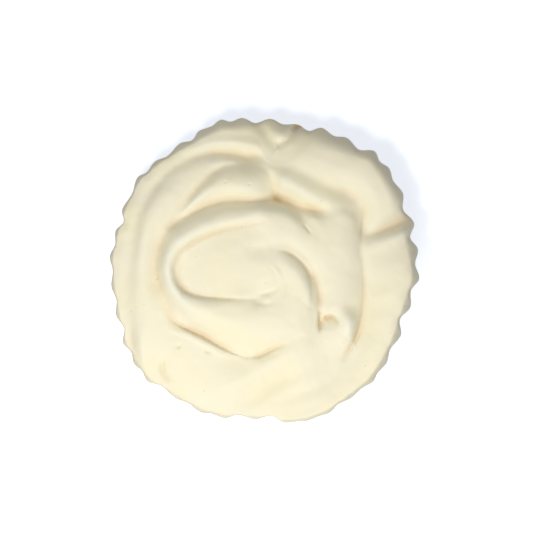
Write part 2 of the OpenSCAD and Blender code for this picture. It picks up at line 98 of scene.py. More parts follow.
# The hand-cast flutes, anticlockwise from the first tip: how many degrees each tip is off its even place,
# how far it stands out from round in millimetres, and the depth of the flute after it as a share of the
# puck's own flute depth.
FLUTES = np.array([
    (1.5, -0.28, 1.5), (1.5, 0.17, 1.45), (3.5, 0.57, 0.7), (3.5, 1.17, 0.7),
    (1, 1.42, 1.4), (2, 0, 0.8), (2, -0.53, 1.2), (1.5, -1.5, 0.75),
    (2, -1, 1.2), (3, -0.38, 0.7), (0.5, 0.27, 0.45), (-1, -0.33, 1),
    (-2, -0.68, 0.85), (0, -0.18, 0.65), (-2, 0.47, 0.75), (1, -0.08, 1.35),
    (-0.5, -0.23, 0.75), (-1, 0.07, 0.7), (0, -0.23, 0.8), (1, 0, 1.25),
    (1.5, 0.97, 0.75), (-0.5, 1.27, 0.5), (-3, 1.47, 0.9), (-1, 0.17, 0.55),
    (-0.5, 0.17, 0.4), (-2, -0.38, 1.05), (0, -1.37, 1.4), (2, -0.28, 0.15),
    (0, 0.27, 0.2), (-2, 0.27, 0.6), (-2, -0.28, 0.5), (-2, -0.03, 0.4),
    (-4, -0.53, 0.9), (-2, -1.08, 1.6), (0, -1.23, 1.2), (1, -0.23, 0.95),
])
# How far in from the wall the flutes show on the top, in millimetres.
FLUTE_REACH = 1.6
# Width of the shoulder at even angles from +X, as a share of the puck's own shoulder.
SHOULDERS = (1, 2.2, 1.5, 2.8, 2.3, 1.1, 0.5, 0.35, 0.35, 0.4, 0.45, 0.45, 0.45, 0.45, 0.7, 1)
# Outline points to a flute, and the places in a flute where a crease may reach the wall.
POINTS_PER_FLUTE = 24
CREASES_PER_FLUTE = 4
# Where the creases reach the wall, as angles in degrees from +X.
WALL_ANGLES = {
    "roll_start": 216, "knob_left": 91, "knob_right": 76, "right_crease": 18.5, "strand_start": 268.5,
    "strand_end": 256, "roll_foot": 236,
}

# Points where creases meet, as x, y and height above the pour line.
NECK_OUTER = (-4, 26.4, DEEPEST)
NECK_INNER = (-4, 24.3, CREASE)
KNOB_TAIL_LEFT = (2.4, 25.8, DEEP)
KNOB_TAIL_RIGHT = (3.4, 25.4, DEEP)
BAND_TOP = (22.6, 12, DEEP)
BAND_CREASE_END = (14, 13.6, VALLEY)
RIGHT_CREASE_END = (22.3, 7.4, CREASE)
BAND_FOOT = (22.6, -9.5, CREASE)
LOWER_END = (18.8, -18.9, CREASE)
LOBE_START = (-22.6, 9.2, SHALLOW)
LOBE_END = (2.6, 16.8, DEEPEST)
SWIRL_START = (11.5, 7.5, FAINT)
SHELF_TOP = (-20.5, -10.1, CREASE)
SHELF_END = (-3.8, -20.1, CREASE)
SWIRL_END = (12.8, -13.8, SHALLOW)
FLOOR_UPPER = (-18.2, 4.8, FLOOR_CREASE)
FLOOR_LEFT = (-20.3, -0.5, FAINT)
FLOOR_LOWER = (-18.5, -4.5, FAINT)
FLOOR_RIGHT = (-1, 11.2, FLOOR)
CURL_SEAT = (-5, -6.7, FLOOR_CREASE)
CURL_TIP = (2.4, -5.1, FLOOR_CREASE)
CURL_BACK = (9.4, 1.4, VALLEY)
CURL_HEAD = (1, 5.1, FLOOR_CREASE)
CURL_LEFT = (-5, 4.2, FLOOR)
HOOK_TOP = (12.6, -9.5, CREASE)

# Scoops pressed into the folds: the middle, the radius, the depth and the side where they are deepest.
Scoop = namedtuple("Scoop", "x y radius depth side")
SCOOPS = [Scoop(14.75, -12.4, 1.9, 1.6, 95)]
# Softness of a scoop's edge in millimetres, the share of its depth in the middle, the bend of its floor, and
# how many edge widths the edge is worked out over.
SCOOP_EDGE = 0.22
SCOOP_MIDDLE = 0.5
SCOOP_BEND = 1.5
SCOOP_EDGES = 30

# Marks that the hand left in the thick soap, each a stroke along a smooth line. A stroke has its half width
# and its height, which is negative for a groove. Either may be a pair, for the two ends of the stroke.
Stroke = namedtuple("Stroke", "line half_width height")
STROKES = [
    # Thin lip along the lower left edge of the swirl, the wedge above its end, and the gap behind it.
    Stroke([(-22, -13.5), (-20, -14.3), (-17.6, -15.2), (-14.6, -16.8), (-11.4, -18.6), (-8.2, -19.9)],
           0.65, 0.3),
    Stroke([(-22.8, -7.8), (-21.8, -10.4), (-20.6, -12), (-18.4, -13.3)], (0.9, 0.8), -0.65),
    Stroke([(-20.4, -12), (-19.1, -12.95), (-17.3, -13.95), (-14, -15.6), (-10.5, -17.55), (-7.2, -19.05),
            (-4.2, -20.1)], (0.45, 0.3), (-1.1, -0.6)),
    # Line under the lower edge of the swirl.
    Stroke([(-5, -20.1), (-2, -19.9), (0, -19.1), (2, -18.1), (4.4, -17.1)], 0.45, -0.4),
    # Short crease at the foot of the left roll.
    Stroke([(-23.5, -20.2), (-23.7, -22.4), (-23, -24.3), (-21.5, -25.8)], 0.7, -0.6),
    # Dimples beside the lip.
    Stroke([(-20.2, -16.9), (-19.6, -18)], 0.6, -0.35),
    Stroke([(-13.9, -18.5), (-12.2, -18.8)], 0.5, -0.4),
    # Inner edge of the ribbon.
    Stroke([(0, 11.2), (-5, 10.3), (-10, 9.2), (-14, 7.7), (-17, 6), (-19.4, 3.8), (-20.7, 1),
            (-20.8, -1.6)], 0.6, -0.5),
    Stroke([(-20.7, 0.4), (-20.3, -2.2), (-19.2, -4.1), (-17.6, -5.2), (-14.6, -6.1), (-10, -6.5),
            (-5, -6.7), (-1.6, -6.6)], 0.5, -0.3),
    # Hollow outside the curl, the line round it, and the coil inside it.
    Stroke([(2.2, 5.5), (5.2, 5.1), (7.6, 4), (9.4, 2.4), (10.7, 0.3), (11.4, -2.5)], 1.7, -0.6),
    Stroke([(3.4, 4.5), (5.2, 4.1), (6.8, 3.2), (8.2, 2), (9.5, 0.4), (10.3, -1.4), (10.8, -4.2),
            (10.9, -8.6)], 0.55, -0.4),
    Stroke([(0.6, 3.2), (3.3, 1.3), (4.6, -2.6), (4.5, -6.6)], 1.3, -0.2),
    Stroke([(0.5, 1.2), (2.2, -0.6), (2.9, -3.2), (2.5, -5.6)], 0.4, -0.1),
    Stroke([(1.6, 2), (3.9, -0.4), (4.8, -3.6), (4.3, -6.8)], 0.4, -0.1),
    # Tip bump in the middle of the curl, between two soft lines.
    Stroke([(-1, -6.8), (0.4, -6.6), (1.6, -6.2)], 0.9, 0.15),
    Stroke([(-1.6, -5.8), (0.6, -5.3), (2.6, -4.3)], 0.6, -0.25),
    Stroke([(-2.6, -7.5), (0, -7.8), (2, -7.4)], 0.6, -0.15),
    # Shallow dent in the lower part of the ribbon.
    Stroke([(-12.5, -9.2), (-8.5, -9.6), (-4, -9.4)], 1.2, -0.15),
    # The knob and the creases on both sides of it.
    Stroke([(3.1, 33), (3.3, 31.2), (3.4, 29.6)], 2.0, 0.35),
    Stroke([(-2, 35), (-0.2, 32), (1.5, 29.8), (3.4, 28.2)], 1.8, (-1.2, -0.9)),
    Stroke([(9.6, 36), (7.6, 33.6), (6.2, 31.8)], (1.5, 0.8), (-4.8, -0.8)),
    Stroke([(7, 32.6), (5.2, 30.4), (3.6, 28.9), (2.6, 28.4)], 1.0, -0.65),
    # Ridge below the right crease, and the groove above it, which widens to the rim.
    Stroke([(21.8, 4.9), (25, 5.9), (29, 7.3), (33, 8.8), (36, 9.8)], 1.6, 0.6),
    Stroke([(22.4, 7.6), (26, 9.1), (30, 11), (33.5, 12.9), (37, 14.8)], (0.9, 2.6), (-0.3, -2.8)),
    # Edge of the right band, and its end beside the hook.
    Stroke([(22.6, 15), (22.6, 12), (22.4, 9), (22.1, 6)], 0.4, -0.2),
    Stroke([(21.8, 5), (21.7, 3.6), (22.3, 2), (22.7, -1), (22.75, -5), (22.6, -8), (22.2, -10.5),
            (21.7, -13), (20.7, -15.8), (19.7, -17.8), (18.6, -19.4)], 0.45, -0.15),
    Stroke([(21.8, -13), (20.8, -15.8), (19.8, -17.7), (18.8, -19.3), (17.9, -21.4)], (0.45, 0.9), -0.65),
    # Valleys on both sides of the bottom strand.
    Stroke([(-7, -31.6), (-4, -29.9), (0, -27.5), (4, -25.2), (9, -22.6)], 1.8, -0.6),
    Stroke([(1, -31), (5, -29.4), (10, -27.8), (14.5, -25.6), (17.4, -21.6)], 1.4, -0.3),
    # Rim of the hook round its hollow, the edge of the hollow, and the crease on its left.
    Stroke([(14.2, -8.9), (17.2, -9.8), (19, -12.2), (18.6, -15), (16.6, -17)], 1.7, 0.45),
    Stroke([(13.2, -11.4), (14, -10.75), (15, -10.6), (16, -11), (16.7, -12.2)], 0.35, -0.5),
    Stroke([(12.7, -9.2), (12.7, -11.8), (12.65, -14)], 0.5, -1.2),
    # Notch where the swirl starts, the deep corner that runs out along the band, the hollow below it, and
    # its end at the lobe.
    Stroke([(8.9, 10.5), (9.7, 9.5), (10.6, 8.4)], 0.4, -0.3),
    Stroke([(2.6, 16.4), (5, 15.5), (8, 14.4), (11, 13.8), (15.5, 13.2)], (0.9, 1.5), (-0.8, -1.1)),
    Stroke([(5.4, 14.3), (8, 13), (11, 12.6)], 1.4, -0.4),
    Stroke([(2.2, 17.6), (2.9, 16.3), (4, 15)], 0.8, -0.6),
]
# Steps from point to point of a stroke, the share of it at each end that fades no further, how quickly it
# fades, and how many half widths past its points it is worked out.
STROKE_STEPS = 8
STROKE_END = 0.02
STROKE_FADE = 0.6
STROKE_MARGIN = 4
# Pits left by air bubbles, as x, y, radius and depth.
PITS = [
    (-9.1, 20.2, 0.24, 0.22), (-3.5, 19.7, 0.22, 0.18), (-24.8, -1.9, 0.26, 0.3), (0.2, -2.8, 0.22, 0.15),
]

# How much the soap ran together along some stretches: the width of the rounding and how far to each side it
# holds, in millimetres. Other creases have the puck's own softness.
Softening = namedtuple("Softening", "width beside names")
SOFTENINGS = [
    Softening(0.3, 1.0, "swirl_lip"),
    Softening(0.7, 1.2, "rim_left neck"),
    Softening(0.9, 1.8, """rim_upper swirl_left floor_corner floor_join curl_step curl_top band_join
        band_fade"""),
    Softening(2.0, 2.4, """ribbon_join curl_join arm_join hook_join shelf_valley
        lower_valley strand_right knob_tail knob_left knob_right roll_foot"""),
]
# A softening is this many times full on its stretches, where full is the most that counts. It has this many
# marks on the grid for each point of them.
SOFTENING_GAIN = 1.3
MARKS_PER_POINT = 40

# Lumps left by the hand, as their width and height in millimetres.
LUMPS = [(2.2, 0.06), (0.6, 0.018)]
LUMP_SEED = 5

# Grid on which the heights of the top are worked out, in millimetres, how many times its width a blur
# reaches, and the least weight that values are divided by.
FIELD_HALF = 40.0
PITCH = 0.125
BLUR_REACH = 3
LEAST_WEIGHT = 1e-9
# Points of a fold's surface along each cell of its rails and from rail to rail, the steps from point to
# point of a crease, and how quickly a fold's ends lose their hold on its height.
FINE = 6
ACROSS = 96
CURVE_STEPS = 16
END_FADE = 8
# Spacing of the mesh points on the seams and inside a fold, the insets of the rows that follow the shoulder
# down to the wall, and how far the rows and the other points stay clear of the seams, in millimetres.
SEAM_STEP = 0.4
POINT_STEP = 0.3
SHOULDER_ROWS = (0.03, 0.1, 0.2, 0.33, 0.5, 0.72)
ROW_CLEAR = SEAM_STEP / 3
POINT_CLEAR = SEAM_STEP * 0.6
# Half steps over which slopes are taken, in millimetres and degrees.
NORMAL_STEP = 0.06
NORMAL_TURN = 0.2
# Triangles are kept only inside the outline. Points this near to each other are one, and points this near to
# the wall lie on it.
CDT_INSIDE = 1
CDT_EPSILON = 1e-6
ON_WALL = 1e-4
# Width over which a crest or crease is told from its surroundings, the height that counts as full, and how
# many times full a crease may count.
RELIEF_WIDTH = 1.1
RELIEF_FULL = 0.7
RELIEF_DEEPEST = 2.0

# Rows up the base's wall, steps round its foot, and the bend of its draft.
BASE_ROWS = 22
FOOT_STEPS = 6
DRAFT_BEND = 1.15

# The photograph is square. The middle of the puck lies at this pixel, and a pixel covers this much of it.
PHOTO_PX = 533
PUCK_PX = (265.0, 270.0)
MM_PER_PX = 0.2323
# Height of the camera above the pour line in metres, and its sensor in millimetres.
CAMERA_HEIGHT = 0.7
SENSOR = 36.0

# Patterns in the soap: the sizes of their features in metres, and the pinholes to a metre.
CLOUD_SIZE = 0.014
PATCH_SIZE = 0.0035
RIPPLE_SIZE = 0.0022
GRAIN_SIZE = 0.0007
PINHOLE_AREA = 0.006
PINHOLES = 420.0
# Detail and roughness of the finer patterns, and the middle of their values.
PATTERN_DETAIL = 3.0
PATTERN_ROUGHNESS = 0.6
PATTERN_MIDDLE = 0.5
# Values between which each tint comes in. The crest tint is a painted sheen, and the crease and gap tints are
# painted shade.
CLOUD_RANGE = (0.38, 0.66)
CREST_SHEEN_RANGE = (0.08, 0.75)
CREASE_SHADE_RANGE = (0.03, 0.85)
GAP_SHADE_RANGE = (0.7, 2.0)
PINHOLE_RANGE = (0.05, 0.13)
PINHOLE_AREA_RANGE = (0.56, 0.64)
# How much the patches break up the painted sheen on the crests and the painted shade in the creases, and the
# strength of the tints: the painted sheen and shade, and the painted shade in the pinholes.
CREST_SHEEN_BREAKUP = 0.5
CREASE_SHADE_BREAKUP = 0.2
SHEEN_AND_SHADE_TINT = 0.7
PINHOLE_SHADE_TINT = 0.3
# How much the roughness changes with the patches and in the creases.
PATCH_ROUGHNESS = 0.16
CREASE_ROUGHNESS = 0.08
# Shares of the ripples, the grain and the pinholes in the bumps, and the bumps' strength and height in
# metres.
RIPPLE_BUMP = 0.7
GRAIN_BUMP = 0.3
PINHOLE_BUMP = 0.6
BUMP_STRENGTH = 0.35
BUMP_HEIGHT = 0.00012


Puck = namedtuple(
    "Puck", "puck_d base_h wall_h shoulder_w draft foot_r flutes flute_depth flute_phase softness")


def lerp(a, b, f):
    """The value a share f of the way from a to b."""
    return a + (b - a) * f


def blend4(p0, p1, p2, p3, f):
    """A smooth curve through four neighbours, between the middle two."""
    return (2 * p1 + (p2 - p0) * f + (2 * p0 - 5 * p1 + 4 * p2 - p3) * f ** 2
            + (3 * p1 - p0 - 3 * p2 + p3) * f ** 3) / 2


def smooth_curve(points, steps=CURVE_STEPS):
    """A smooth curve through the points, with this many steps from each to the next."""
    p = np.asarray(points, float)
    p = np.vstack([2 * p[0] - p[1], p, 2 * p[-1] - p[-2]])
    f = np.linspace(0, 1, steps, endpoint=False)[:, None]
    runs = [blend4(*p[i:i + 4], f) for i in range(len(p) - 3)]
    return np.vstack([*runs, p[-2:-1]])


def cut_at(points, shares):
    """Points at the given shares of a curve's length in plan."""
    length = np.append(0, np.cumsum(np.hypot(*np.diff(points[:, :2], axis=0).T)))
    return np.stack([np.interp(shares * length[-1], length, axis) for axis in points.T], 1)


def chained(parts):
    """Runs of points joined end to end, with each shared point kept once."""
    return np.vstack([parts[0], *(part[1:] for part in parts[1:])])


def along(stations, u):
    """Values at u, from 0 to 1, on a smooth curve through evenly spaced stations."""
    if len(stations) == 1:
        return np.full_like(u, stations[0])
    curve = smooth_curve(np.asarray(stations, float)[:, None])[:, 0]
    return np.interp(u, np.linspace(0, 1, len(curve)), curve)


class Wall:
    """The fluted outline of a puck."""

    def __init__(self, puck):
        self.puck = puck
        self.flute = 360 / puck.flutes
        turn, tip, dip = np.resize(FLUTES, (puck.flutes, 3)).T
        tip_angle = puck.flute_phase + self.flute * np.arange(puck.flutes) + turn
        next_angle = np.append(tip_angle[1:], tip_angle[0] + 360)
        middle = (tip + np.roll(tip, -1)) / 2
        angles = np.column_stack([tip_angle, (tip_angle + next_angle) / 2]).ravel()
        self.angles = np.concatenate([angles - 360, angles, angles + 360])
        self.rises = np.tile(np.column_stack([tip, middle - puck.flute_depth * dip]).ravel(), 3)
        half = puck.flute_depth / 2
        self.middles = np.tile(np.column_stack([tip - half, middle - half]).ravel(), 3)

    def radius(self, angle, fluted=1.0):
        """Radius of the outline. Its flutes may be partly or wholly left out, at their middle depth."""
        angle = np.mod(angle, 360)
        i = np.searchsorted(self.angles, angle, side="right") - 1
        share = (angle - self.angles[i]) / (self.angles[i + 1] - self.angles[i])
        eased = (1 - np.cos(np.pi * share)) / 2
        rise = lerp(self.rises[i], self.rises[i + 1], eased)
        middle = lerp(self.middles[i], self.middles[i + 1], share)
        return self.puck.puck_d / 2 + lerp(middle, rise, fluted)

    def points(self, angle, height, inset=0.0):
        """Points on the outline, or inside it by the inset, at a height."""
        angle = np.asarray(angle, float)
        r = self.radius(angle) - inset
        turn = np.radians(angle)
        return np.stack([r * np.cos(turn), r * np.sin(turn), np.broadcast_to(height, r.shape)], -1)

    def crease_angle(self, name):
        """Angle at which a crease reaches the wall, on a point of the outline."""
        step = self.flute / CREASES_PER_FLUTE
        return self.puck.flute_phase + step * round((WALL_ANGLES[name] - self.puck.flute_phase) / step)

    def rim(self, name):
        """Point at which a crease reaches the wall."""
        return self.points(self.crease_angle(name), EDGE)

    def arc(self, first, last, heights, turn=0):
        """The outline from one crease to another, with its heights at both."""
        a0 = self.crease_angle(first) + turn
        a1 = self.crease_angle(last)
        n = round(abs(a1 - a0) / self.flute * POINTS_PER_FLUTE)
        return self.points(np.linspace(a0, a1, n + 1), np.linspace(*heights, n + 1))

    def depth_inside(self, x, y, fluted=1.0):
        """How far points lie inside the outline, along the radius."""
        return self.radius(np.degrees(np.arctan2(y, x)), fluted) - np.hypot(x, y)


def crease_curves(wall):
    """The creases, each a list of named stretches that meet end to end."""
    start = wall.rim("roll_start")
    foot = wall.rim("roll_foot")
    return [
        [("rim_left", [start, wall.points(213, DEEP, 0.6), wall.points(208, DEEP, 1.8), (-31, -12, SHALLOW),
                       (-31, -6, VALLEY), (-30.8, 0, VALLEY), (-30.2, 5, VALLEY), (-29.6, 10.2, VALLEY),
                       (-27.6, 15.4, VALLEY), (-24.9, 19.8, SHALLOW), (-21.8, 23.2, SHALLOW),
                       (-18.3, 25.6, CREASE), (-14, 27.1, DEEP), (-10, 27.2, DEEPEST), (-6.5, 26.8, DEEPEST),
                       NECK_OUTER]),
         ("neck", [NECK_OUTER, (-1, 26.2, DEEPEST), KNOB_TAIL_LEFT]),
         ("knob_tail", [KNOB_TAIL_LEFT, KNOB_TAIL_RIGHT]),
         ("rim_upper", [KNOB_TAIL_RIGHT, (6, 23.8, SHALLOW), (10, 21.6, VALLEY), (14.5, 19.6, SHALLOW),
                        (18.5, 18.2, DEEP), (21, 16.5, DEEP), (22.4, 14.2, DEEP), BAND_TOP]),
         ("band_upper", [BAND_TOP, (22.6, 9.6, DEEP), RIGHT_CREASE_END]),
         ("band_right", [RIGHT_CREASE_END, (21.8, 4, SHALLOW), (22.5, 1, SHALLOW), (22.8, -4, CREASE),
                         BAND_FOOT]),
         ("hook_right", [BAND_FOOT, (21.7, -13.2, CREASE), (20.3, -16.4, CREASE), LOWER_END]),
         ("strand_right", [LOWER_END, (17.6, -22.4, STRAND_CREASE), (15.4, -26, STRAND_CREASE),
                           (12, -28.2, STRAND_CREASE), (8, -30.2, SHALLOW), (3.8, -31.6, CREASE),
                           (1, -32.7, EDGE), wall.rim("strand_start")])],
        [("lobe_left", [LOBE_START, (-20, 13, SHALLOW), (-17, 17, SHALLOW), (-14, 20.5, SHALLOW),
                        (-11.5, 22.9, CREASE), (-9, 24.2, CREASE), (-6.5, 24.5, CREASE), NECK_INNER]),
         ("lobe_right", [NECK_INNER, (0.2, 23.8, CREASE), (1.8, 21.5, CREASE), (2.5, 19, DEEP),
                         LOBE_END])],
        [("swirl_head", [SWIRL_START, (10.3, 9, FAINT), (9, 11, VALLEY), (7.2, 13.5, VALLEY),
                         (5, 15.3, CREASE), LOBE_END]),
         ("swirl_top", [LOBE_END, (-2, 16.3, CREASE), (-8, 16.3, CREASE), (-13, 15.2, CREASE),
                        (-17, 13.4, SHALLOW), (-20.2, 11.3, SHALLOW), LOBE_START]),
         ("swirl_left", [LOBE_START, (-24.3, 6, CREASE), (-25.2, 2.5, CREASE), (-25.2, -1, CREASE),
                         (-24.2, -4.5, CREASE), (-22.4, -7.3, SHALLOW), SHELF_TOP]),
         ("swirl_lip", [SHELF_TOP, (-19.4, -12.1, CREASE), (-17.3, -13.5, CREASE), (-13.8, -15.3, CREASE),
                        (-10.3, -17.4, CREASE), (-6.9, -19, CREASE), SHELF_END]),
         ("swirl_foot", [SHELF_END, (-1.5, -19.7, CREASE), (1, -18.6, SHALLOW), (4, -17.1, VALLEY),
                         (7, -15.4, FAINT), (10, -14.2, FAINT), SWIRL_END])],
        [("floor_top", [FLOOR_RIGHT, (-4, 10.7, FLOOR_CREASE), (-8, 9.8, FLOOR_CREASE),
                        (-12, 8.6, FLOOR_CREASE), (-15.5, 7, FLOOR_CREASE), FLOOR_UPPER]),
         ("floor_corner", [FLOOR_UPPER, (-20, 2.2, FLOOR_CREASE), FLOOR_LEFT]),
         ("floor_side", [FLOOR_LEFT, (-19.9, -2.6, FAINT), FLOOR_LOWER]),
         ("floor_bottom", [FLOOR_LOWER, (-16.2, -5.6, FLOOR_CREASE), (-13.3, -6.3, FLOOR_CREASE),
                           (-9, -6.6, FLOOR_CREASE), CURL_SEAT]),
         ("curl_inside", [CURL_SEAT, (-2, -6.9, VALLEY), (0.6, -6.4, FLOOR_CREASE), CURL_TIP])],
        [("curl_step", [CURL_LEFT, (-2, 5, VALLEY), CURL_HEAD]),
         ("curl_top", [CURL_HEAD, (4.5, 4.7, FLOOR_CREASE), (7.3, 3.4, FAINT), CURL_BACK]),
         ("curl_right", [CURL_BACK, (11, -1.1, SHALLOW), (12.1, -4, SHALLOW), (12.6, -7, CREASE), HOOK_TOP]),
         ("hook_left", [HOOK_TOP, (12.7, -11.5, CREASE), SWIRL_END])],
        [("lower_valley", [wall.rim("strand_end"), (-4.5, -30.6, CREASE), (0, -27.6, CREASE),
                           (4, -25.3, CREASE), (8, -23.2, VALLEY), (12, -21.6, VALLEY), (16, -20.2, VALLEY),
                           LOWER_END])],
        [("band_crease", [LOBE_END, (5.2, 16.25, DEEP), (8, 15.1, CREASE), (11, 14.2, CREASE),
                          BAND_CREASE_END]),
         ("band_fade", [BAND_CREASE_END, (17, 13.5, FLOOR_CREASE), (19.8, 12.9, FAINT), BAND_TOP])],
        [("shelf_valley", [foot, (-19, -26.2, VALLEY), (-16, -25.2, VALLEY), (-12, -23.8, VALLEY),
                           (-8.5, -22.5, VALLEY), (-6, -21.5, CREASE), SHELF_END])],
        [("roll_foot", [foot, (-21.4, -27, CREASE), (-22.8, -25.2, CREASE), (-24, -22.8, CREASE),
                        (-24.3, -20.5, VALLEY), (-23.2, -17, SHELF), (-22.2, -13.5, SHELF), SHELF_TOP])],
        [("knob_left", [wall.rim("knob_left"), (0.2, 32.2, EDGE), (1.8, 30.3, DEEP), (2.9, 29, CREASE),
                        (2.8, 27.4, SHALLOW), KNOB_TAIL_LEFT])],
        [("knob_right", [wall.rim("knob_right"), (7, 32.2, EDGE), (5.2, 30.4, DEEP), (3.8, 29, CREASE),
                         (3.6, 27.4, SHALLOW), KNOB_TAIL_RIGHT])],
        [("right_crease", [wall.rim("right_crease"), (30, 10.2, CREASE), (26, 8.7, CREASE),
                           RIGHT_CREASE_END])],
        [("neck_join", [NECK_OUTER, (-4, 25.35, DEEP), NECK_INNER])],
        [("ribbon_join", [SWIRL_START, (10.9, 5.4, BAND), (10.3, 3.4, BAND), CURL_BACK])],
        [("floor_join", [FLOOR_RIGHT, CURL_HEAD])],
        [("curl_join", [CURL_LEFT, (-5, 0.5, FLOOR), (-5, -3.5, FLOOR), CURL_SEAT])],
        [("arm_join", [CURL_TIP, (4.6, -7.1, HOOK), (7.4, -9.6, CURL), (10.2, -12, HOOK), SWIRL_END])],
        [("band_join", [HOOK_TOP, (15, -9, BAND), (18, -8.8, BAND), (20.5, -9.2, VALLEY), BAND_FOOT])],
        [("hook_join", [SWIRL_END, (14.8, -16, LOWER), (17, -17.9, LOWER), LOWER_END])],
    ]


# A fold lies between two rails, from its start to its finish. A rail is a list of sections, each with the
# names of its stretches, its cells and, where only part of a stretch is meant, the shares of its length. A
# minus sign means that the stretch runs backwards, and a start or finish with no stretches is a point. The
# crest's heights and its place from rail to rail run along the fold. Each flank is 0 for a soft valley,
# 1 for a crease and 2 for a steep one. Reach is how quickly the ends lose their hold on the fold's lines in
# plan.
Section = namedtuple("Section", "names cells first last", defaults=(0, 1))
Fold = namedtuple("Fold", "rail_a rail_b start finish crest at flanks reach", defaults=(1,))

RIM_FOLDS = {
    "left_rim_fold": Fold(
        [Section("wall_left", 50)], [Section("rim_left neck", 50)], "", "knob_left",
        [EDGE, LEFT_RIM, LEFT_RIM, KNOB], [0.55, 0.55, 0.7], (0.8, 1)),
    "rim_knob": Fold(
        [Section("wall_knob", 6)], [Section("knob_tail", 6)], "knob_left", "knob_right",
        [EDGE, KNOB, EDGE], [0.4], (0, 0)),
    "upper_rim_fold": Fold(
        [Section("wall_upper", 24)], [Section("rim_upper band_upper", 24)], "knob_right", "right_crease",
        [LEFT_RIM, LOWER, BAND, SHALLOW], [0.5], (1, 1.4)),
    "right_rim_fold": Fold(
        [Section("wall_right", 43)], [Section("band_right hook_right strand_right", 43)], "right_crease", "",
        [RIGHT_TOP, RIGHT_TOP, RIGHT_RIM, LOWER, STRAND, EDGE], [0.25], (0.5, 1.2)),
    "bottom_strand": Fold(
        [Section("strand_right", 18)], [Section("-lower_valley", 18)], "", "wall_strand",
        [CREASE, STRAND, STRAND, STRAND], [0.5], (0.3, 0.8)),
    "lower_fold": Fold(
        [Section("lower_valley", 26)],
        [Section("shelf_valley", 12), Section("swirl_foot hook_join", 14)], "wall_lower", "",
        [VALLEY, LOWER, LOWER, LOWER, CREASE], [0.6], (0.5, 1.2)),
}
INNER_FOLDS = {
    "swirl_shelf": Fold(
        [Section("shelf_valley", 14)], [Section("swirl_lip", 14)], "roll_foot", "",
        [SHELF, SHELF, SHELF, SHALLOW], [0.94], (0, 2)),
    "left_roll": Fold(
        [Section("rim_left", 4, 0, 0.04), Section("rim_left", 4, 0.04, 0.2),
         Section("rim_left", 26, 0.2, 1)],
        [Section("roll_foot", 8), Section("-swirl_left", 10), Section("lobe_left", 16)],
        "wall_roll", "neck_join", [VALLEY, LOBE, LOBE, ROLL, ROLL, VALLEY, CREASE],
        [0.45, 0.45, 0.45, 0.45, 0.6, 0.97], (1.4, 1.7), 4),
    "arch_lobe": Fold(
        [Section("lobe_left", 14), Section("lobe_right", 8)], [Section("-swirl_top", 22)], "", "",
        [CREASE, LOBE, LOBE, LOBE, DEEPEST], [0.55, 0.55, 0.55, 0.7, 0.85], (1.1, 1.2)),
    "diagonal_roll": Fold(
        [Section("neck knob_tail", 10), Section("rim_upper", 16)],
        [Section("lobe_right", 10), Section("band_crease band_fade", 16)], "neck_join", "",
        [DEEP, SHALLOW, DIAGONAL, FAINT, VALLEY], [0.9, 0.5, 0.5, 0.7, 0.95], (0.8, 0.7)),
    "right_band": Fold(
        [Section("-swirl_head", 8), Section("ribbon_join", 6), Section("curl_right", 9)],
        [Section("band_upper band_right", 23)], "band_crease band_fade", "band_join",
        [BAND], [0.5], (1.2, 1.5)),
    "hook_curl": Fold(
        [Section("hook_left", 9)], [Section("hook_right", 9)], "band_join", "hook_join",
        [BAND, HOOK, HOOK, LOWER], [0.78], (0.8, 1.2)),
}
SWIRL_FOLDS = {
    "swirl_ribbon": Fold(
        [Section("swirl_head", 10), Section("swirl_top", 3, 0, 0.14), Section("swirl_top", 14, 0.14, 1),
         Section("swirl_left", 8), Section("swirl_lip", 14), Section("swirl_foot", 10)],
        [Section("-curl_top", 10), Section("-floor_join", 3), Section("floor_top", 14),
         Section("floor_corner floor_side", 8), Section("floor_bottom", 14), Section("curl_inside", 10)],
        "ribbon_join", "-arm_join", [BAND, HOOK, CURL, RIBBON, RIBBON, CURL, CURL],
        [0.3, 0.34, 0.42, 0.8, 0.76, 0.7, 0.62, 0.62, 0.66, 0.7, 0.66, 0.58, 0.5], (1.1, 1.7), 4),
    "centre_curl": Fold(
        [Section("curl_step", 3), Section("curl_top", 7), Section("curl_right", 9), Section("hook_left", 5)],
        [Section("curl_inside", 10), Section("curl_tip", 14)], "curl_join", "-arm_join",
        [FLOOR, CURL, CURL, CURL], [0.32], (1.1, 1.2)),
    "swirl_floor": Fold(
        [Section("-floor_top", 14)], [Section("floor_bottom", 14)], "floor_corner floor_side",
        "floor_join -curl_step curl_join", [FLOOR_CREASE, FLOOR, FLOOR], [0.4], (1, 1.2)),
}
FOLDS = RIM_FOLDS | INNER_FOLDS | SWIRL_FOLDS


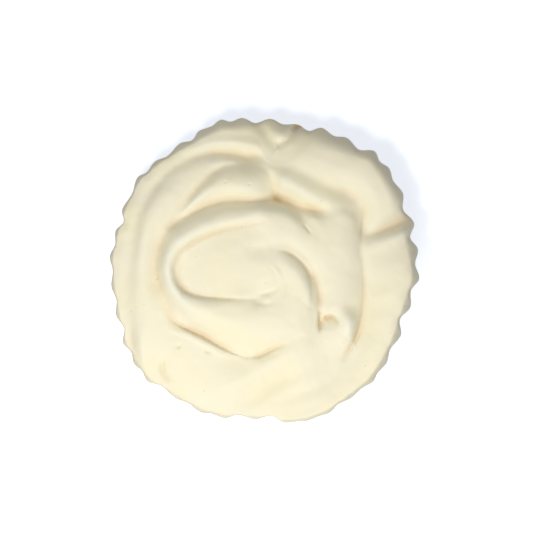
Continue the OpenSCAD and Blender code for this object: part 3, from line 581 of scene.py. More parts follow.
class Creases:
    """The smoothed stretches of every crease and of the wall, by name."""

    def __init__(self, wall):
        self.fine = {
            "wall_left": wall.arc("roll_start", "knob_left", (LEFT_EDGE, EDGE)),
            "wall_knob": wall.arc("knob_left", "knob_right", (KNOB_EDGE, KNOB_EDGE)),
            "wall_upper": wall.arc("knob_right", "right_crease", (UPPER_EDGE, BAND)),
            "wall_right": wall.arc("right_crease", "strand_start", (RIGHT_EDGE, VALLEY), turn=360),
            "wall_strand": wall.arc("strand_start", "strand_end", (SHALLOW, EDGE)),
            "wall_lower": wall.arc("strand_end", "roll_foot", (EDGE, EDGE)),
            "wall_roll": wall.arc("roll_start", "roll_foot", (EDGE, EDGE)),
            "curl_tip": np.array([CURL_TIP, CURL_TIP], float),
        }
        for curve in crease_curves(wall):
            control = chained([np.array(points, float) for _, points in curve])
            line = smooth_curve(control)
            first = 0
            for name, points in curve:
                last = first + (len(points) - 1) * CURVE_STEPS
                self.fine[name] = line[first:last + 1]
                first = last

    def run(self, names):
        """Stretches joined end to end, each backwards where its name has a minus sign."""
        parts = [self.fine[n[1:]][::-1] if n[0] == "-" else self.fine[n] for n in names.split()]
        return chained(parts)

    def rail(self, sections):
        """Points along a rail, evenly spaced in each section."""
        parts = []
        for s in sections:
            parts.append(cut_at(self.run(s.names), np.linspace(s.first, s.last, s.cells * FINE + 1)))
        return chained(parts)

    def end(self, names, point):
        """Points across an end, which are all the same one where it has no stretches."""
        if not names:
            return np.repeat(point[None], ACROSS + 1, 0)
        return cut_at(self.run(names), np.linspace(0, 1, ACROSS + 1))

    def seam(self, name):
        """Plan points of one stretch, spaced for the mesh and the same for both neighbours."""
        back = name[0] == "-"
        line = self.fine[name[back:]]
        if not name.startswith("wall"):
            length = np.hypot(*np.diff(line[:, :2], axis=0).T).sum()
            line = cut_at(line, np.linspace(0, 1, max(2, math.ceil(length / SEAM_STEP)) + 1))
        return line[::-1, :2] if back else line[:, :2]

    def outline(self, fold):
        """The plan outline of a fold as a closed run of points."""
        def names(sections):
            return list(dict.fromkeys(n for s in sections for n in s.names.split() if n != "curl_tip"))

        def turned(run):
            return [n[1:] if n[0] == "-" else "-" + n for n in reversed(run)]

        run = names(fold.rail_a) + fold.finish.split()
        run += turned(names(fold.rail_b)) + turned(fold.start.split())
        points = np.vstack([self.seam(n)[:-1] for n in run])
        x, y = points.T
        area = np.dot(x, np.roll(y, -1)) - np.dot(y, np.roll(x, -1))
        return points if area > 0 else points[::-1]


def flank(s, sharp):
    """Height of a flank from its crease, 0, to the crest, 1."""
    soft = (1 - np.cos(np.pi * s)) / 2
    plain = np.sin(np.pi / 2 * s)
    steep = np.sqrt(1 - (1 - s) ** 2)
    return lerp(soft, plain, sharp) if sharp < 1 else lerp(plain, steep, sharp - 1)


def fold_surface(creases, fold):
    """Points all over the top of a fold, as x, y and height."""
    a = creases.rail(fold.rail_a)
    b = creases.rail(fold.rail_b)
    start = creases.end(fold.start, a[0])
    finish = creases.end(fold.finish, a[-1])
    u = np.linspace(0, 1, len(a))[:, None]
    v = np.linspace(0, 1, ACROSS + 1)[None]
    crest = along(fold.crest, u)
    at = along(fold.at, u)
    rising = lerp(a[:, 2:], crest, flank(np.clip(v / at, 0, 1), fold.flanks[0]))
    falling = lerp(b[:, 2:], crest, flank(np.clip((1 - v) / (1 - at), 0, 1), fold.flanks[1]))
    z = np.where(v < at, rising, falling)
    z = z + (1 - u) ** END_FADE * (start[:, 2] - z[:1]) + u ** END_FADE * (finish[:, 2] - z[-1:])
    near = (1 - u) ** fold.reach
    far = u ** fold.reach
    flat = []
    for k in (0, 1):
        row = lerp(a[:, k, None], b[:, k, None], v)
        flat.append(row + near * (start[:, k] - row[:1]) + far * (finish[:, k] - row[-1:]))
    return np.stack([*flat, z], -1).reshape(-1, 3)


def blurred(values, width):
    """Values on the grid, smoothed over a width in millimetres."""
    sigma = width / PITCH
    reach = math.ceil(BLUR_REACH * sigma)
    offsets = np.arange(-reach, reach + 1)
    weights = np.exp(-0.5 * (offsets / sigma) ** 2)
    weights /= weights.sum()
    for axis in (0, 1):
        values = sum(w * np.roll(values, k, axis) for w, k in zip(weights, offsets))
    return values


class Field:
    """Numbers on a square grid over the plan."""

    def __init__(self, values):
        self.values = values

    def at(self, x, y):
        """The number at each plan point, from its four neighbours on the grid."""
        col = (x + FIELD_HALF) / PITCH
        row = (y + FIELD_HALF) / PITCH
        i = np.floor(row).astype(int)
        j = np.floor(col).astype(int)
        f = row - i
        g = col - j
        v = self.values
        return lerp(lerp(v[i, j], v[i, j + 1], g), lerp(v[i + 1, j], v[i + 1, j + 1], g), f)


def grid_axes():
    """Plan coordinates of every point of the grid."""
    line = np.arange(-FIELD_HALF, FIELD_HALF + PITCH / 2, PITCH)
    return np.meshgrid(line, line)


def grid_cells(points):
    """Columns and rows of the grid points that are nearest to the points."""
    return np.rint((points[:, :2].T + FIELD_HALF) / PITCH).astype(int)


def scoop_depth(x, y, scoop):
    """Depth of a scoop over the grid. It has a clear edge where it is deepest and runs out opposite."""
    across = x - scoop.x
    up = y - scoop.y
    side = math.radians(scoop.side)
    ramp = SCOOP_MIDDLE + (1 - SCOOP_MIDDLE) * (across * math.cos(side) + up * math.sin(side)) / scoop.radius
    edge = np.clip((np.hypot(across, up) - scoop.radius) / SCOOP_EDGE, -SCOOP_EDGES, SCOOP_EDGES)
    return scoop.depth * np.clip(ramp, 0, 1) ** SCOOP_BEND / (1 + np.exp(edge))


def stroke_height(x, y, stroke):
    """Height of a stroke over the grid. It fades at both ends."""
    line = smooth_curve(stroke.line, STROKE_STEPS)
    nearest = np.full(x.shape, np.inf)
    share = np.zeros(x.shape)
    for k, ((px, py), (qx, qy)) in enumerate(zip(line, line[1:])):
        squared = (qx - px) ** 2 + (qy - py) ** 2
        passed = np.clip(((x - px) * (qx - px) + (y - py) * (qy - py)) / squared, 0, 1)
        d = (x - lerp(px, qx, passed)) ** 2 + (y - lerp(py, qy, passed)) ** 2
        closer = d < nearest
        nearest = np.where(closer, d, nearest)
        share = np.where(closer, (k + passed) / (len(line) - 1), share)
    fade = np.sin(np.pi * np.clip(share, STROKE_END, 1 - STROKE_END)) ** STROKE_FADE
    half_width = lerp(*np.broadcast_to(stroke.half_width, 2), share)
    height = lerp(*np.broadcast_to(stroke.height, 2), share)
    return height * fade * np.exp(-nearest / half_width ** 2)


def add_stroke(height, x, y, stroke):
    """Adds a stroke to the heights of the grid, worked out only near its line."""
    margin = STROKE_MARGIN * np.max(stroke.half_width)
    px, py = np.transpose(stroke.line)
    near = ((x > px.min() - margin) & (x < px.max() + margin)
            & (y > py.min() - margin) & (y < py.max() + margin))
    height[near] += stroke_height(x[near], y[near], stroke)


def add_hand_marks(height, x, y):
    """Adds the pits, scoops, strokes and lumps that the hand left to the heights of the grid."""
    for px, py, radius, depth in PITS:
        height -= depth * np.exp(-((x - px) ** 2 + (y - py) ** 2) / radius ** 2)
    for scoop in SCOOPS:
        height -= scoop_depth(x, y, scoop)
    for stroke in STROKES:
        add_stroke(height, x, y, stroke)
    rng = np.random.default_rng(LUMP_SEED)
    for width, rise in LUMPS:
        lumps = blurred(rng.standard_normal(x.shape), width)
        height += rise * lumps / lumps.std()


class Top:
    """Heights of the hand-swirled top above the pour line, and its crests and creases."""

    def __init__(self, puck):
        self.puck = puck
        self.wall = Wall(puck)
        self.creases = Creases(self.wall)
        x, y = grid_axes()
        height = self.folded(x.shape)
        add_hand_marks(height, x, y)
        self.height = Field(height)
        # The relief marks the crests for a painted sheen and the creases for painted shade in the soap's
        # colour.
        inside = (self.wall.depth_inside(x, y) > 0).astype(float)
        around = self.spread(height * inside, inside, RELIEF_WIDTH)
        self.relief = Field(np.clip((height - around) / RELIEF_FULL, -RELIEF_DEEPEST, 1))

    def folded(self, shape):
        """Heights of the folds on the grid, with rounded creases between them."""
        size = math.prod(shape)
        total = np.zeros(size)
        count = np.zeros(size)
        for fold in FOLDS.values():
            points = fold_surface(self.creases, fold)
            col, row = grid_cells(points)
            index = row * shape[1] + col
            total += np.bincount(index, points[:, 2], size)
            count += np.bincount(index, minlength=size)
        covered = (count > 0).astype(float).reshape(shape)
        raw = (total / np.maximum(count, 1)).reshape(shape)
        height = self.spread(raw, covered, self.puck.softness)
        for soft in SOFTENINGS:
            height = lerp(height, self.spread(raw, covered, soft.width), self.beside(soft, shape))
        return height

    @staticmethod
    def spread(values, covered, width):
        """Values smoothed over the places that are covered, and carried on a little past them."""
        return blurred(values * covered, width) / np.maximum(blurred(covered, width), LEAST_WEIGHT)

    def beside(self, soft, shape):
        """1 along the softened stretches, fading out to both sides."""
        marks = np.zeros(shape)
        for name in soft.names.split():
            line = self.creases.fine[name]
            line = cut_at(line, np.linspace(0, 1, MARKS_PER_POINT * len(line)))
            col, row = grid_cells(line)
            marks[row, col] = 1
        peak = PITCH / (soft.beside * math.sqrt(2 * math.pi))
        return np.clip(SOFTENING_GAIN * blurred(marks, soft.beside) / peak, 0, 1)

    def shoulder(self, x, y):
        """Width of the shoulder on each point's side of the puck."""
        turn = np.mod(np.degrees(np.arctan2(y, x)), 360)
        shares = np.append(SHOULDERS, SHOULDERS[0])
        return self.puck.shoulder_w * np.interp(turn, np.linspace(0, 360, len(shares)), shares)

    def surface(self, x, y):
        """Height of the top above the foot, brought down over the shoulder to the wall."""
        d = self.wall.depth_inside(x, y)
        flutes_fade = np.clip(d / FLUTE_REACH, 0, 1)
        d = lerp(d, self.wall.depth_inside(x, y, 0), flutes_fade * (2 - flutes_fade))
        d = np.clip(d / self.shoulder(x, y), 0, 1)
        shoulder = np.sqrt(1 - (1 - d) ** 2)
        rise = self.puck.wall_h + (self.height.at(x, y) - self.puck.wall_h) * shoulder
        return self.puck.base_h + rise

    def normals(self, x, y):
        """Directions square to the top, the same for both neighbours of a seam, and level at the wall."""
        dx = self.surface(x + NORMAL_STEP, y) - self.surface(x - NORMAL_STEP, y)
        dy = self.surface(x, y + NORMAL_STEP) - self.surface(x, y - NORMAL_STEP)
        way = np.stack([-dx, -dy, np.full_like(dx, 2 * NORMAL_STEP)], 1)
        at_wall = self.wall.depth_inside(x, y) < ON_WALL
        angle = np.degrees(np.arctan2(y, x))
        tangent = self.wall.points(angle + NORMAL_TURN, 0) - self.wall.points(angle - NORMAL_TURN, 0)
        level = np.stack([tangent[:, 1], -tangent[:, 0], np.zeros(len(tangent))], 1)
        way = np.where(at_wall[:, None], level, way)
        return way / np.linalg.norm(way, axis=1, keepdims=True)


@functools.lru_cache(maxsize=1)
def swirled_top(puck):
    """The top of a puck, worked out once for all its folds."""
    return Top(puck)


def inside_outline(points, outline):
    """True for each point that lies inside the closed outline."""
    x, y = points.T
    inside = np.zeros(len(points), bool)
    for (x0, y0), (x1, y1) in zip(outline, np.roll(outline, -1, 0)):
        if y0 != y1:
            crosses = (y0 > y) != (y1 > y)
            inside ^= crosses & (x < (x1 - x0) * (y - y0) / (y1 - y0) + x0)
    return inside


def clear_of(points, others, gap):
    """True for each point that is at least the gap away from all the others."""
    clear = np.ones(len(points), bool)
    for px, py in others:
        clear &= (points[:, 0] - px) ** 2 + (points[:, 1] - py) ** 2 > gap ** 2
    return clear


def inner_points(top, outline):
    """Mesh points inside a fold: rows down the shoulder, and an even spread over the rest."""
    angle = np.degrees(np.arctan2(outline[:, 1], outline[:, 0]))
    angle = angle[top.wall.depth_inside(*outline.T) < ON_WALL]
    rows = [top.wall.points(angle, 0, inset)[:, :2] for inset in SHOULDER_ROWS if len(angle)]
    low = outline.min(0)
    high = outline.max(0)
    rise = POINT_STEP * math.sqrt(3) / 2
    x, y = np.meshgrid(np.arange(low[0], high[0], POINT_STEP), np.arange(low[1], high[1], rise))
    x = x + np.where(np.arange(len(x)) % 2, POINT_STEP / 2, 0)[:, None]
    spread = np.stack([x.ravel(), y.ravel()], 1)
    spread = spread[top.wall.depth_inside(*spread.T) > SHOULDER_ROWS[-1] + POINT_STEP / 2]
    seam = outline[top.wall.depth_inside(*outline.T) > ON_WALL]
    kept = []
    for points, gap in [(row, ROW_CLEAR) for row in rows] + [(spread, POINT_CLEAR)]:
        points = points[inside_outline(points, outline)]
        kept.append(points[clear_of(points, seam, gap)])
    return np.vstack(kept)


def triangulated(outline, inner):
    """Plan points and anticlockwise triangles that fill the outline."""
    points = [Vector(p) for p in np.vstack([outline, inner])]
    loop = list(range(len(outline)))
    verts, _, faces, *_ = delaunay_2d_cdt(points, [], [loop], CDT_INSIDE, CDT_EPSILON)
    return np.array([(v.x, v.y) for v in verts]), np.array(faces)


def border_edges(faces):
    """Directed edges that only one triangle has."""
    edges = np.vstack([faces[:, [0, 1]], faces[:, [1, 2]], faces[:, [2, 0]]])
    size = edges.max() + 1
    there = edges[:, 0] * size + edges[:, 1]
    back = edges[:, 1] * size + edges[:, 0]
    return edges[~np.isin(there, back)]


def closed_loop(border, node):
    """The points of a fold's border in order round it."""
    follow = dict(border.tolist())
    loop = [int(border.min())]
    while follow[loop[-1]] != loop[0]:
        if len(loop) > len(follow):
            raise ValueError(f"the outline of {node} crosses itself")
        loop.append(follow[loop[-1]])
    return loop


def new_object(name, points, faces, smooth, relief):
    """A mesh object from points in millimetres, with its crests and creases kept on its points."""
    mesh = bpy.data.meshes.new(name)
    mesh.from_pydata((np.asarray(points) * MM).tolist(), [], faces)
    mesh.polygons.foreach_set("use_smooth", smooth)
    marks = mesh.attributes.new("relief", "FLOAT", "POINT")
    marks.data.foreach_set("value", np.asarray(relief, np.float32))
    mesh.validate()
    obj = bpy.data.objects.new(name, mesh)
    bpy.context.scene.collection.objects.link(obj)
    return obj


def fold_piece(top, node, fold):
    """One fold as a closed piece that stands on the pour line."""
    outline = top.creases.outline(fold)
    plan, faces = triangulated(outline, inner_points(top, outline))
    x, y = plan.T
    upper = np.column_stack([plan, top.surface(x, y)])
    border = border_edges(faces)
    ring = np.unique(border)
    lower = np.column_stack([plan[ring], np.full(len(ring), top.puck.base_h)])
    under = np.full(len(plan), -1)
    under[ring] = len(plan) + np.arange(len(ring))
    walls = [(under[i], under[j], j, i) for i, j in border]
    outer = (top.wall.depth_inside(x, y) < ON_WALL)[border].all(1)
    bottom = [tuple(int(under[i]) for i in reversed(closed_loop(border, node)))]
    smooth = [True] * len(faces) + outer.tolist() + [False]
    relief = np.append(top.relief.at(x, y), top.relief.at(*plan[ring].T))
    all_faces = faces.tolist() + [tuple(int(i) for i in w) for w in walls] + bottom
    piece = new_object(f"{node}_soap", np.vstack([upper, lower]), all_faces, smooth, relief)
    normals = top.normals(x, y)
    piece.data.normals_split_custom_set_from_vertices(np.vstack([normals, normals[ring]]).tolist())
    return piece


def base_piece(puck):
    """The moulded base: fluted wall with draft, rounded foot and flat top at the pour line."""
    wall = Wall(puck)
    n = puck.flutes * POINTS_PER_FLUTE
    angle = puck.flute_phase + np.arange(n) * 360 / n
    turn = np.linspace(0, np.pi / 2, FOOT_STEPS + 1)[:-1]
    foot_z = puck.foot_r * (1 - np.cos(turn))
    foot_in = puck.foot_r * (1 - np.sin(turn))
    z = np.append(foot_z, np.linspace(puck.foot_r, puck.base_h, BASE_ROWS))
    inset = np.append(foot_in, np.zeros(BASE_ROWS)) + puck.draft * (1 - z / puck.base_h) ** DRAFT_BEND
    rings = [wall.points(angle, height, back) for height, back in zip(z, inset)]
    faces = []
    for k in range(len(rings) - 1):
        for i in range(n):
            j = (i + 1) % n
            faces.append((k * n + i, k * n + j, (k + 1) * n + j, (k + 1) * n + i))
    smooth = [True] * len(faces) + [False, False]
    last = (len(rings) - 1) * n
    faces.append(tuple(reversed(range(n))))
    faces.append(tuple(range(last, last + n)))
    # The flute tips get the painted sheen of the crests, and the flute grooves get the painted shade of the
    # creases and gaps.
    relief = np.tile(wall.radius(angle) - wall.radius(angle, 0), len(rings))
    return new_object("fluted_base_soap", np.vstack(rings), faces, smooth, relief)


class Socket:
    """A node's output with the usual arithmetic, which adds the nodes for it."""

    def __init__(self, shader, output):
        self.shader = shader
        self.output = output

    def math(self, operation, *values, clamp=False):
        """The result of a Math node."""
        inputs = dict(enumerate(values))
        return self.shader.node("ShaderNodeMath", {"operation": operation, "use_clamp": clamp}, inputs)

    def __add__(self, other):
        return self.math("ADD", self, other)

    def __sub__(self, other):
        return self.math("SUBTRACT", self, other)

    def __rsub__(self, other):
        return self.math("SUBTRACT", other, self)

    def __mul__(self, other):
        return self.math("MULTIPLY", self, other)

    __radd__ = __add__
    __rmul__ = __mul__

    def clamped(self):
        """The value kept from 0 to 1."""
        return self.math("ADD", self, 0.0, clamp=True)

    def between(self, low, high):
        """0 below the low value, 1 above the high one, and smooth between them."""
        settings = {"interpolation_type": "SMOOTHSTEP"}
        values = {"Value": self, "From Min": low, "From Max": high}
        return self.shader.node("ShaderNodeMapRange", settings, values, "Result")


class Shader:
    """Nodes of one material or world."""

    # Places of the two colours among a Mix node's inputs, and of the mixed colour among its outputs.
    FIRST_COLOUR = 6
    SECOND_COLOUR = 7
    MIXED_COLOUR = 2

    def __init__(self, owner):
        owner.use_nodes = True
        self.tree = owner.node_tree
        self.tree.nodes.clear()

    def node(self, kind, settings=None, inputs=None, output=0):
        """A new node. Its settings come first, then the values or links of its inputs."""
        made = self.tree.nodes.new(kind)
        for name, value in (settings or {}).items():
            setattr(made, name, value)
        for name, value in (inputs or {}).items():
            if isinstance(value, Socket):
                self.tree.links.new(value.output, made.inputs[name])
            else:
                made.inputs[name].default_value = value
        return Socket(self, made.outputs[output]) if made.outputs else made

    def mixed(self, factor, first, second):
        """A colour between two colours."""
        values = {"Factor": factor, self.FIRST_COLOUR: first, self.SECOND_COLOUR: second}
        return self.node("ShaderNodeMix", {"data_type": "RGBA"}, values, self.MIXED_COLOUR)

    def noise(self, place, size, detail=2.0, roughness=0.5):
        """Noise with features of about this size in metres."""
        values = {"Vector": place, "Scale": 1 / size, "Detail": detail, "Roughness": roughness}
        return self.node("ShaderNodeTexNoise", None, values, "Fac")


def opaque(colour):
    """A colour with its alpha."""
    return (*colour, 1.0)


def soap_material(name, finish):
    """Hard creamy soap: crests made paler by a painted sheen, warm painted shade in the creases, cloudy
    patches, fine grain and pinholes with painted shade inside.
    """
    material = bpy.data.materials.new(name)
    s = Shader(material)
    place = s.node("ShaderNodeTexCoord", output="Object")
    relief = s.node("ShaderNodeAttribute", {"attribute_name": "relief"}, output="Fac")
    cloud = s.noise(place, CLOUD_SIZE, PATTERN_DETAIL)
    patch = s.noise(place, PATCH_SIZE, PATTERN_DETAIL, PATTERN_ROUGHNESS)
    grain = s.noise(place, GRAIN_SIZE, PATTERN_DETAIL, PATTERN_ROUGHNESS)
    ripple = s.noise(place, RIPPLE_SIZE)
    uneven = patch - PATTERN_MIDDLE
    hollow = relief * -1.0
    # Painted sheen makes the crests paler. Painted shade makes the creases warmer and darker, and darker still
    # in the gaps deep in them.
    crest = (relief + uneven * CREST_SHEEN_BREAKUP).between(*CREST_SHEEN_RANGE)
    crease = (hollow + uneven * CREASE_SHADE_BREAKUP).between(*CREASE_SHADE_RANGE)
    gap = hollow.between(*GAP_SHADE_RANGE)
    colour = s.mixed(cloud.between(*CLOUD_RANGE), opaque(finish.body), opaque(finish.cloud))
    colour = s.mixed(crest * SHEEN_AND_SHADE_TINT, colour, opaque(finish.crest))
    colour = s.mixed(crease * SHEEN_AND_SHADE_TINT, colour, opaque(finish.crease))
    colour = s.mixed(gap * SHEEN_AND_SHADE_TINT, colour, opaque(finish.gap))
    cell = {"Vector": place, "Scale": PINHOLES}
    from_middle = s.node("ShaderNodeTexVoronoi", {"feature": "F1"}, cell, "Distance")
    pinhole = 1.0 - from_middle.between(*PINHOLE_RANGE)
    pinhole = pinhole * s.noise(place, PINHOLE_AREA).between(*PINHOLE_AREA_RANGE)
    # Painted shade inside the pinholes.
    colour = s.mixed(pinhole * PINHOLE_SHADE_TINT, colour, opaque(finish.pinhole))
    roughness = finish.roughness + uneven * PATCH_ROUGHNESS + crease * CREASE_ROUGHNESS
    grained = ripple * RIPPLE_BUMP + grain * GRAIN_BUMP - pinhole * PINHOLE_BUMP
    bump = s.node("ShaderNodeBump", None, {
        "Strength": BUMP_STRENGTH, "Distance": BUMP_HEIGHT, "Height": grained}, "Normal")
    soap = s.node("ShaderNodeBsdfPrincipled", None, {
        "Base Color": colour, "Roughness": roughness, "Normal": bump, "Specular IOR Level": finish.shine})
    s.node("ShaderNodeOutputMaterial", None, {"Surface": soap})
    return material


def finished(obj, node, slot, finish):
    """Gives a piece its soap, ties it to the root body and hides the CAD part that it stands for."""
    name = f"{slot}_finish"
    obj.data.materials.append(bpy.data.materials.get(name) or soap_material(name, finish))
    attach(obj, BODY)
    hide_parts(node)


class PuckSizes(bpy.types.PropertyGroup):
    """Sizes of the puck."""

    puck_d: FloatProperty(
        name="Diameter", description="Diameter across the flute tips", default=0.072, unit="LENGTH",
        precision=4)
    base_h: FloatProperty(
        name="Base height", description="From the foot to the pour line", default=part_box("fluted_base")[1].z,
        unit="LENGTH", precision=4)
    wall_h: FloatProperty(
        name="Wall", description="Upright wall above the pour line", default=0.0025, unit="LENGTH",
        precision=4)
    shoulder_w: FloatProperty(
        name="Shoulder", description="Width of the rounded shoulder", default=0.0018, unit="LENGTH",
        precision=4)
    draft: FloatProperty(
        name="Draft", description="How much smaller the foot is, on the radius", default=0.003,
        unit="LENGTH", precision=4)
    foot_r: FloatProperty(
        name="Foot radius", description="Rounding of the foot's edge", default=0.001, unit="LENGTH",
        precision=4)
    flutes: IntProperty(name="Flutes", description="Number of flutes round the wall", default=36)
    flute_depth: FloatProperty(
        name="Flute depth", description="Depth of a flute", default=0.001, unit="LENGTH",
        precision=4)
    flute_phase: FloatProperty(
        name="Flute angle", description="Angle of the first flute tip", default=math.radians(6),
        subtype="ANGLE")
    softness: FloatProperty(
        name="Softness", description="Width over which the creases are rounded", default=0.00055,
        unit="LENGTH", precision=5)

    def puck(self):
        """The sizes in millimetres and degrees, in step with the outline and crease points."""
        lengths = [n for n in Puck._fields if n not in ("flutes", "flute_phase")]
        sizes = {n: round(getattr(self, n) / MM, ROUNDED) for n in lengths}
        phase = round(math.degrees(self.flute_phase), ROUNDED)
        return Puck(flutes=self.flutes, flute_phase=phase, **sizes)


class SoapFinish(bpy.types.PropertyGroup):
    """Colours and shine of the soap, with painted sheen on the crests and painted shade in the creases, gaps
    and pinholes.
    """

    body: FloatVectorProperty(
        name="Body", description="Main colour of the soap", subtype="COLOR",
        default=(0.84, 0.785, 0.60))
    cloud: FloatVectorProperty(
        name="Clouds", description="Colour of the yellower patches", subtype="COLOR",
        default=(0.85, 0.79, 0.57))
    # Painted sheen: the paler, cooler colour on the crests.
    crest: FloatVectorProperty(
        name="Crests", description="Colour of the paler crests", subtype="COLOR",
        default=(0.84, 0.82, 0.68))
    # Painted shade: the warm, darker colour in the creases.
    crease: FloatVectorProperty(
        name="Creases", description="Colour of the warmer creases", subtype="COLOR",
        default=(0.72, 0.595, 0.395))
    # Painted shade: the darkest colour deep in the creases.
    gap: FloatVectorProperty(
        name="Gaps", description="Colour deep in the creases", subtype="COLOR",
        default=(0.54, 0.39, 0.19))
    # Painted shade: the darker colour inside the pinholes.
    pinhole: FloatVectorProperty(
        name="Pinholes", description="Colour inside the pinholes", subtype="COLOR",
        default=(0.55, 0.44, 0.28))
    roughness: FloatProperty(
        name="Roughness", description="Roughness of the soap", default=0.62, subtype="FACTOR",
        min=0, max=1)
    shine: FloatProperty(
        name="Shine", description="Strength of the soap's gloss", default=0.25, subtype="FACTOR",
        min=0, max=1)


class StageLight(bpy.types.PropertyGroup):
    """Light and floor."""

    key_power: FloatProperty(
        name="Key", description="Power of the broad lamp", default=0.242, unit="POWER")
    key_turn: FloatProperty(
        name="Key angle", description="Side that the broad lamp stands on", default=math.radians(260),
        subtype="ANGLE")
    key_rise: FloatProperty(
        name="Key rise", description="Angle of the broad lamp above the floor", default=math.radians(58),
        subtype="ANGLE")
    key_distance: FloatProperty(
        name="Key distance", description="Distance of the broad lamp", default=0.22, unit="LENGTH")
    key_size: FloatProperty(
        name="Key size", description="Width of the broad lamp", default=0.148, unit="LENGTH")
    high_power: FloatProperty(
        name="High", description="Power of the small high lamp", default=0.18, unit="POWER")
    high_turn: FloatProperty(
        name="High angle", description="Side that the high lamp stands on", default=math.radians(205),
        subtype="ANGLE")
    high_rise: FloatProperty(
        name="High rise", description="Angle of the high lamp above the floor", default=math.radians(82),
        subtype="ANGLE")
    high_distance: FloatProperty(
        name="High distance", description="Distance of the high lamp", default=0.26, unit="LENGTH")
    high_size: FloatProperty(
        name="High size", description="Width of the high lamp", default=0.03, unit="LENGTH")
    fill: FloatProperty(name="Fill", description="Brightness of the light all round", default=0.27)
    fill_colour: FloatVectorProperty(
        name="Fill colour", description="Colour of the light all round", subtype="COLOR",
        default=(1.0, 0.985, 0.96))
    floor: FloatVectorProperty(
        name="Floor", description="Colour of the floor", subtype="COLOR", default=(0.84, 0.88, 0.96))
    floor_glow: FloatProperty(
        name="Floor glow", description="Plain white that the camera sees on top of the lit floor",
        default=0.7, subtype="FACTOR", min=0, max=1)


class SOAP_OT_fluted_base(bpy.types.Operator):
    """Make the moulded base with its fluted wall"""

    bl_idname = "soap.fluted_base"
    bl_label = "Fluted base"

    def execute(self, context):
        scene = context.scene
        finished(base_piece(scene.soap_sizes.puck()), "fluted_base", BASE_SLOT, scene.soap_finish)
        return {"FINISHED"}


def make_folds(context, folds):
    """Makes each fold of a group as a piece."""
    top = swirled_top(context.scene.soap_sizes.puck())
    for node, fold in folds.items():
        finished(fold_piece(top, node, fold), node, FOLD_SLOT, context.scene.soap_finish)
    return {"FINISHED"}


class SOAP_OT_rim_folds(bpy.types.Operator):
    """Make the folds that reach the wall"""

    bl_idname = "soap.rim_folds"
    bl_label = "Rim folds"

    def execute(self, context):
        return make_folds(context, RIM_FOLDS)


class SOAP_OT_inner_folds(bpy.types.Operator):
    """Make the rolls, lobes and bands round the swirl"""

    bl_idname = "soap.inner_folds"
    bl_label = "Inner folds"

    def execute(self, context):
        return make_folds(context, INNER_FOLDS)


class SOAP_OT_swirl(bpy.types.Operator):
    """Make the ribbon of the swirl, its curl and its floor"""

    bl_idname = "soap.swirl"
    bl_label = "Swirl"

    def execute(self, context):
        return make_folds(context, SWIRL_FOLDS)


def white_to_camera(shader):
    """1 where the camera, a mirror or glass looks, so that it sees a white ground."""
    rays = ("Is Camera Ray", "Is Glossy Ray", "Is Transmission Ray")
    camera, mirror, glass = (shader.node("ShaderNodeLightPath", output=ray) for ray in rays)
    return (camera + mirror + glass).clamped()


def floor_material(light):
    """A matt floor that is white to the camera and keeps the shadow."""
    material = bpy.data.materials.new("studio_floor")
    s = Shader(material)
    matt = s.node("ShaderNodeBsdfDiffuse", None, {"Color": opaque(light.floor)})
    white = s.node("ShaderNodeEmission", None, {"Color": opaque(light.floor), "Strength": light.floor_glow})
    lit = s.node("ShaderNodeAddShader", None, {0: matt, 1: white})
    surface = s.node("ShaderNodeMixShader", None, {"Fac": white_to_camera(s), 1: matt, 2: lit})
    s.node("ShaderNodeOutputMaterial", None, {"Surface": surface})
    return material


def light_world(world, light):
    """Even light all round, in front of a white ground."""
    s = Shader(world)
    colour = s.mixed(white_to_camera(s), opaque(c * light.fill for c in light.fill_colour), (1, 1, 1, 1))
    sky = s.node("ShaderNodeBackground", None, {"Color": colour, "Strength": 1.0})
    s.node("ShaderNodeOutputWorld", None, {"Surface": sky})


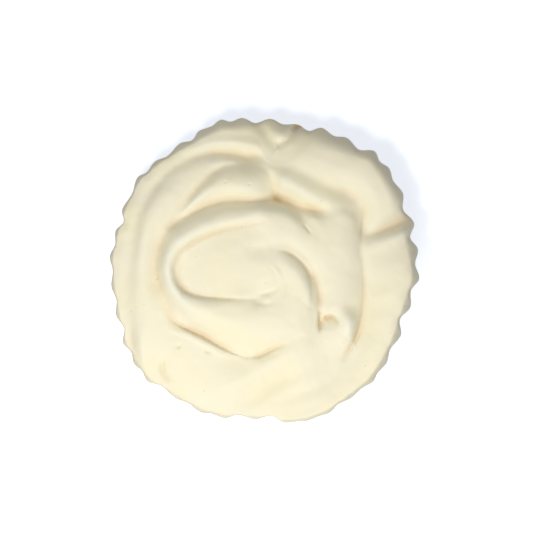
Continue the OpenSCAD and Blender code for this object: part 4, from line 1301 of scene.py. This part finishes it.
class SOAP_OT_stage(bpy.types.Operator):
    """Make the floor, the light and the camera"""

    bl_idname = "soap.stage"
    bl_label = "Stage"

    FLOOR_HALF = 4.0
    FLOOR_DROP = 0.00002

    def execute(self, context):
        scene = context.scene
        light = scene.soap_light
        half = self.FLOOR_HALF
        corners = [(-half, -half), (half, -half), (half, half), (-half, half)]
        mesh = bpy.data.meshes.new("studio_floor")
        mesh.from_pydata([(x, y, -self.FLOOR_DROP) for x, y in corners], [], [(0, 1, 2, 3)])
        mesh.materials.append(floor_material(light))
        floor = bpy.data.objects.new("studio_floor", mesh)
        scene.collection.objects.link(floor)
        scene.world = bpy.data.worlds.new("studio_light")
        light_world(scene.world, light)
        for lamp in ("key", "high"):
            self.add_lamp(scene, light, lamp)
        self.add_camera(scene)
        scene.view_settings.view_transform = "Standard"
        return {"FINISHED"}

    def add_lamp(self, scene, light, name):
        """A round lamp that looks at the middle of the puck."""
        power, turn, rise, distance, size = (
            getattr(light, f"{name}_{value}") for value in ("power", "turn", "rise", "distance", "size"))
        lamp = bpy.data.lights.new(f"{name}_lamp", "AREA")
        lamp.shape = "DISK"
        lamp.size = size
        lamp.energy = power
        placed = bpy.data.objects.new(f"{name}_lamp", lamp)
        level = math.cos(rise)
        way = Vector((math.cos(turn) * level, math.sin(turn) * level, math.sin(rise)))
        placed.location = way * distance
        placed.rotation_euler = way.to_track_quat("Z", "Y").to_euler()
        scene.collection.objects.link(placed)

    def add_camera(self, scene):
        """Looks straight down, framed as in the photograph."""
        view = bpy.data.cameras.new("camera")
        view.sensor_width = SENSOR
        pixel = MM_PER_PX * MM
        view.lens = SENSOR * CAMERA_HEIGHT / (PHOTO_PX * pixel)
        camera = bpy.data.objects.new("camera", view)
        middle = PHOTO_PX / 2
        pour_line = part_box("fluted_base")[1].z
        across = (middle - PUCK_PX[0]) * pixel
        up = (PUCK_PX[1] - middle) * pixel
        camera.location = (across, up, pour_line + CAMERA_HEIGHT)
        scene.collection.objects.link(camera)
        scene.camera = camera


STEPS = (SOAP_OT_fluted_base, SOAP_OT_rim_folds, SOAP_OT_inner_folds, SOAP_OT_swirl, SOAP_OT_stage)


class SOAP_PT_puck(bpy.types.Panel):
    """Sizes, finish and steps of the puck"""

    bl_idname = "SOAP_PT_puck"
    bl_label = "Shaving soap puck"
    bl_space_type = "VIEW_3D"
    bl_region_type = "UI"
    bl_category = "Soap"

    def draw(self, context):
        for group in (context.scene.soap_sizes, context.scene.soap_finish, context.scene.soap_light):
            box = self.layout.box()
            for name in group.__annotations__:
                box.prop(group, name)
        for step in STEPS:
            self.layout.operator(step.bl_idname)


GROUPS = {"soap_sizes": PuckSizes, "soap_finish": SoapFinish, "soap_light": StageLight}
CLASSES = (*GROUPS.values(), *STEPS, SOAP_PT_puck)


def register():
    for cls in CLASSES:
        bpy.utils.register_class(cls)
    for name, group in GROUPS.items():
        setattr(bpy.types.Scene, name, PointerProperty(type=group))


def unregister():
    for name in GROUPS:
        delattr(bpy.types.Scene, name)
    for cls in reversed(CLASSES):
        bpy.utils.unregister_class(cls)


def main():
    """Builds the puck on its stage and keeps its sizes."""
    register()
    bpy.ops.soap.fluted_base()
    bpy.ops.soap.rim_folds()
    bpy.ops.soap.inner_folds()
    bpy.ops.soap.swirl()
    bpy.ops.soap.stage()


if __name__ == "__main__":
    main()
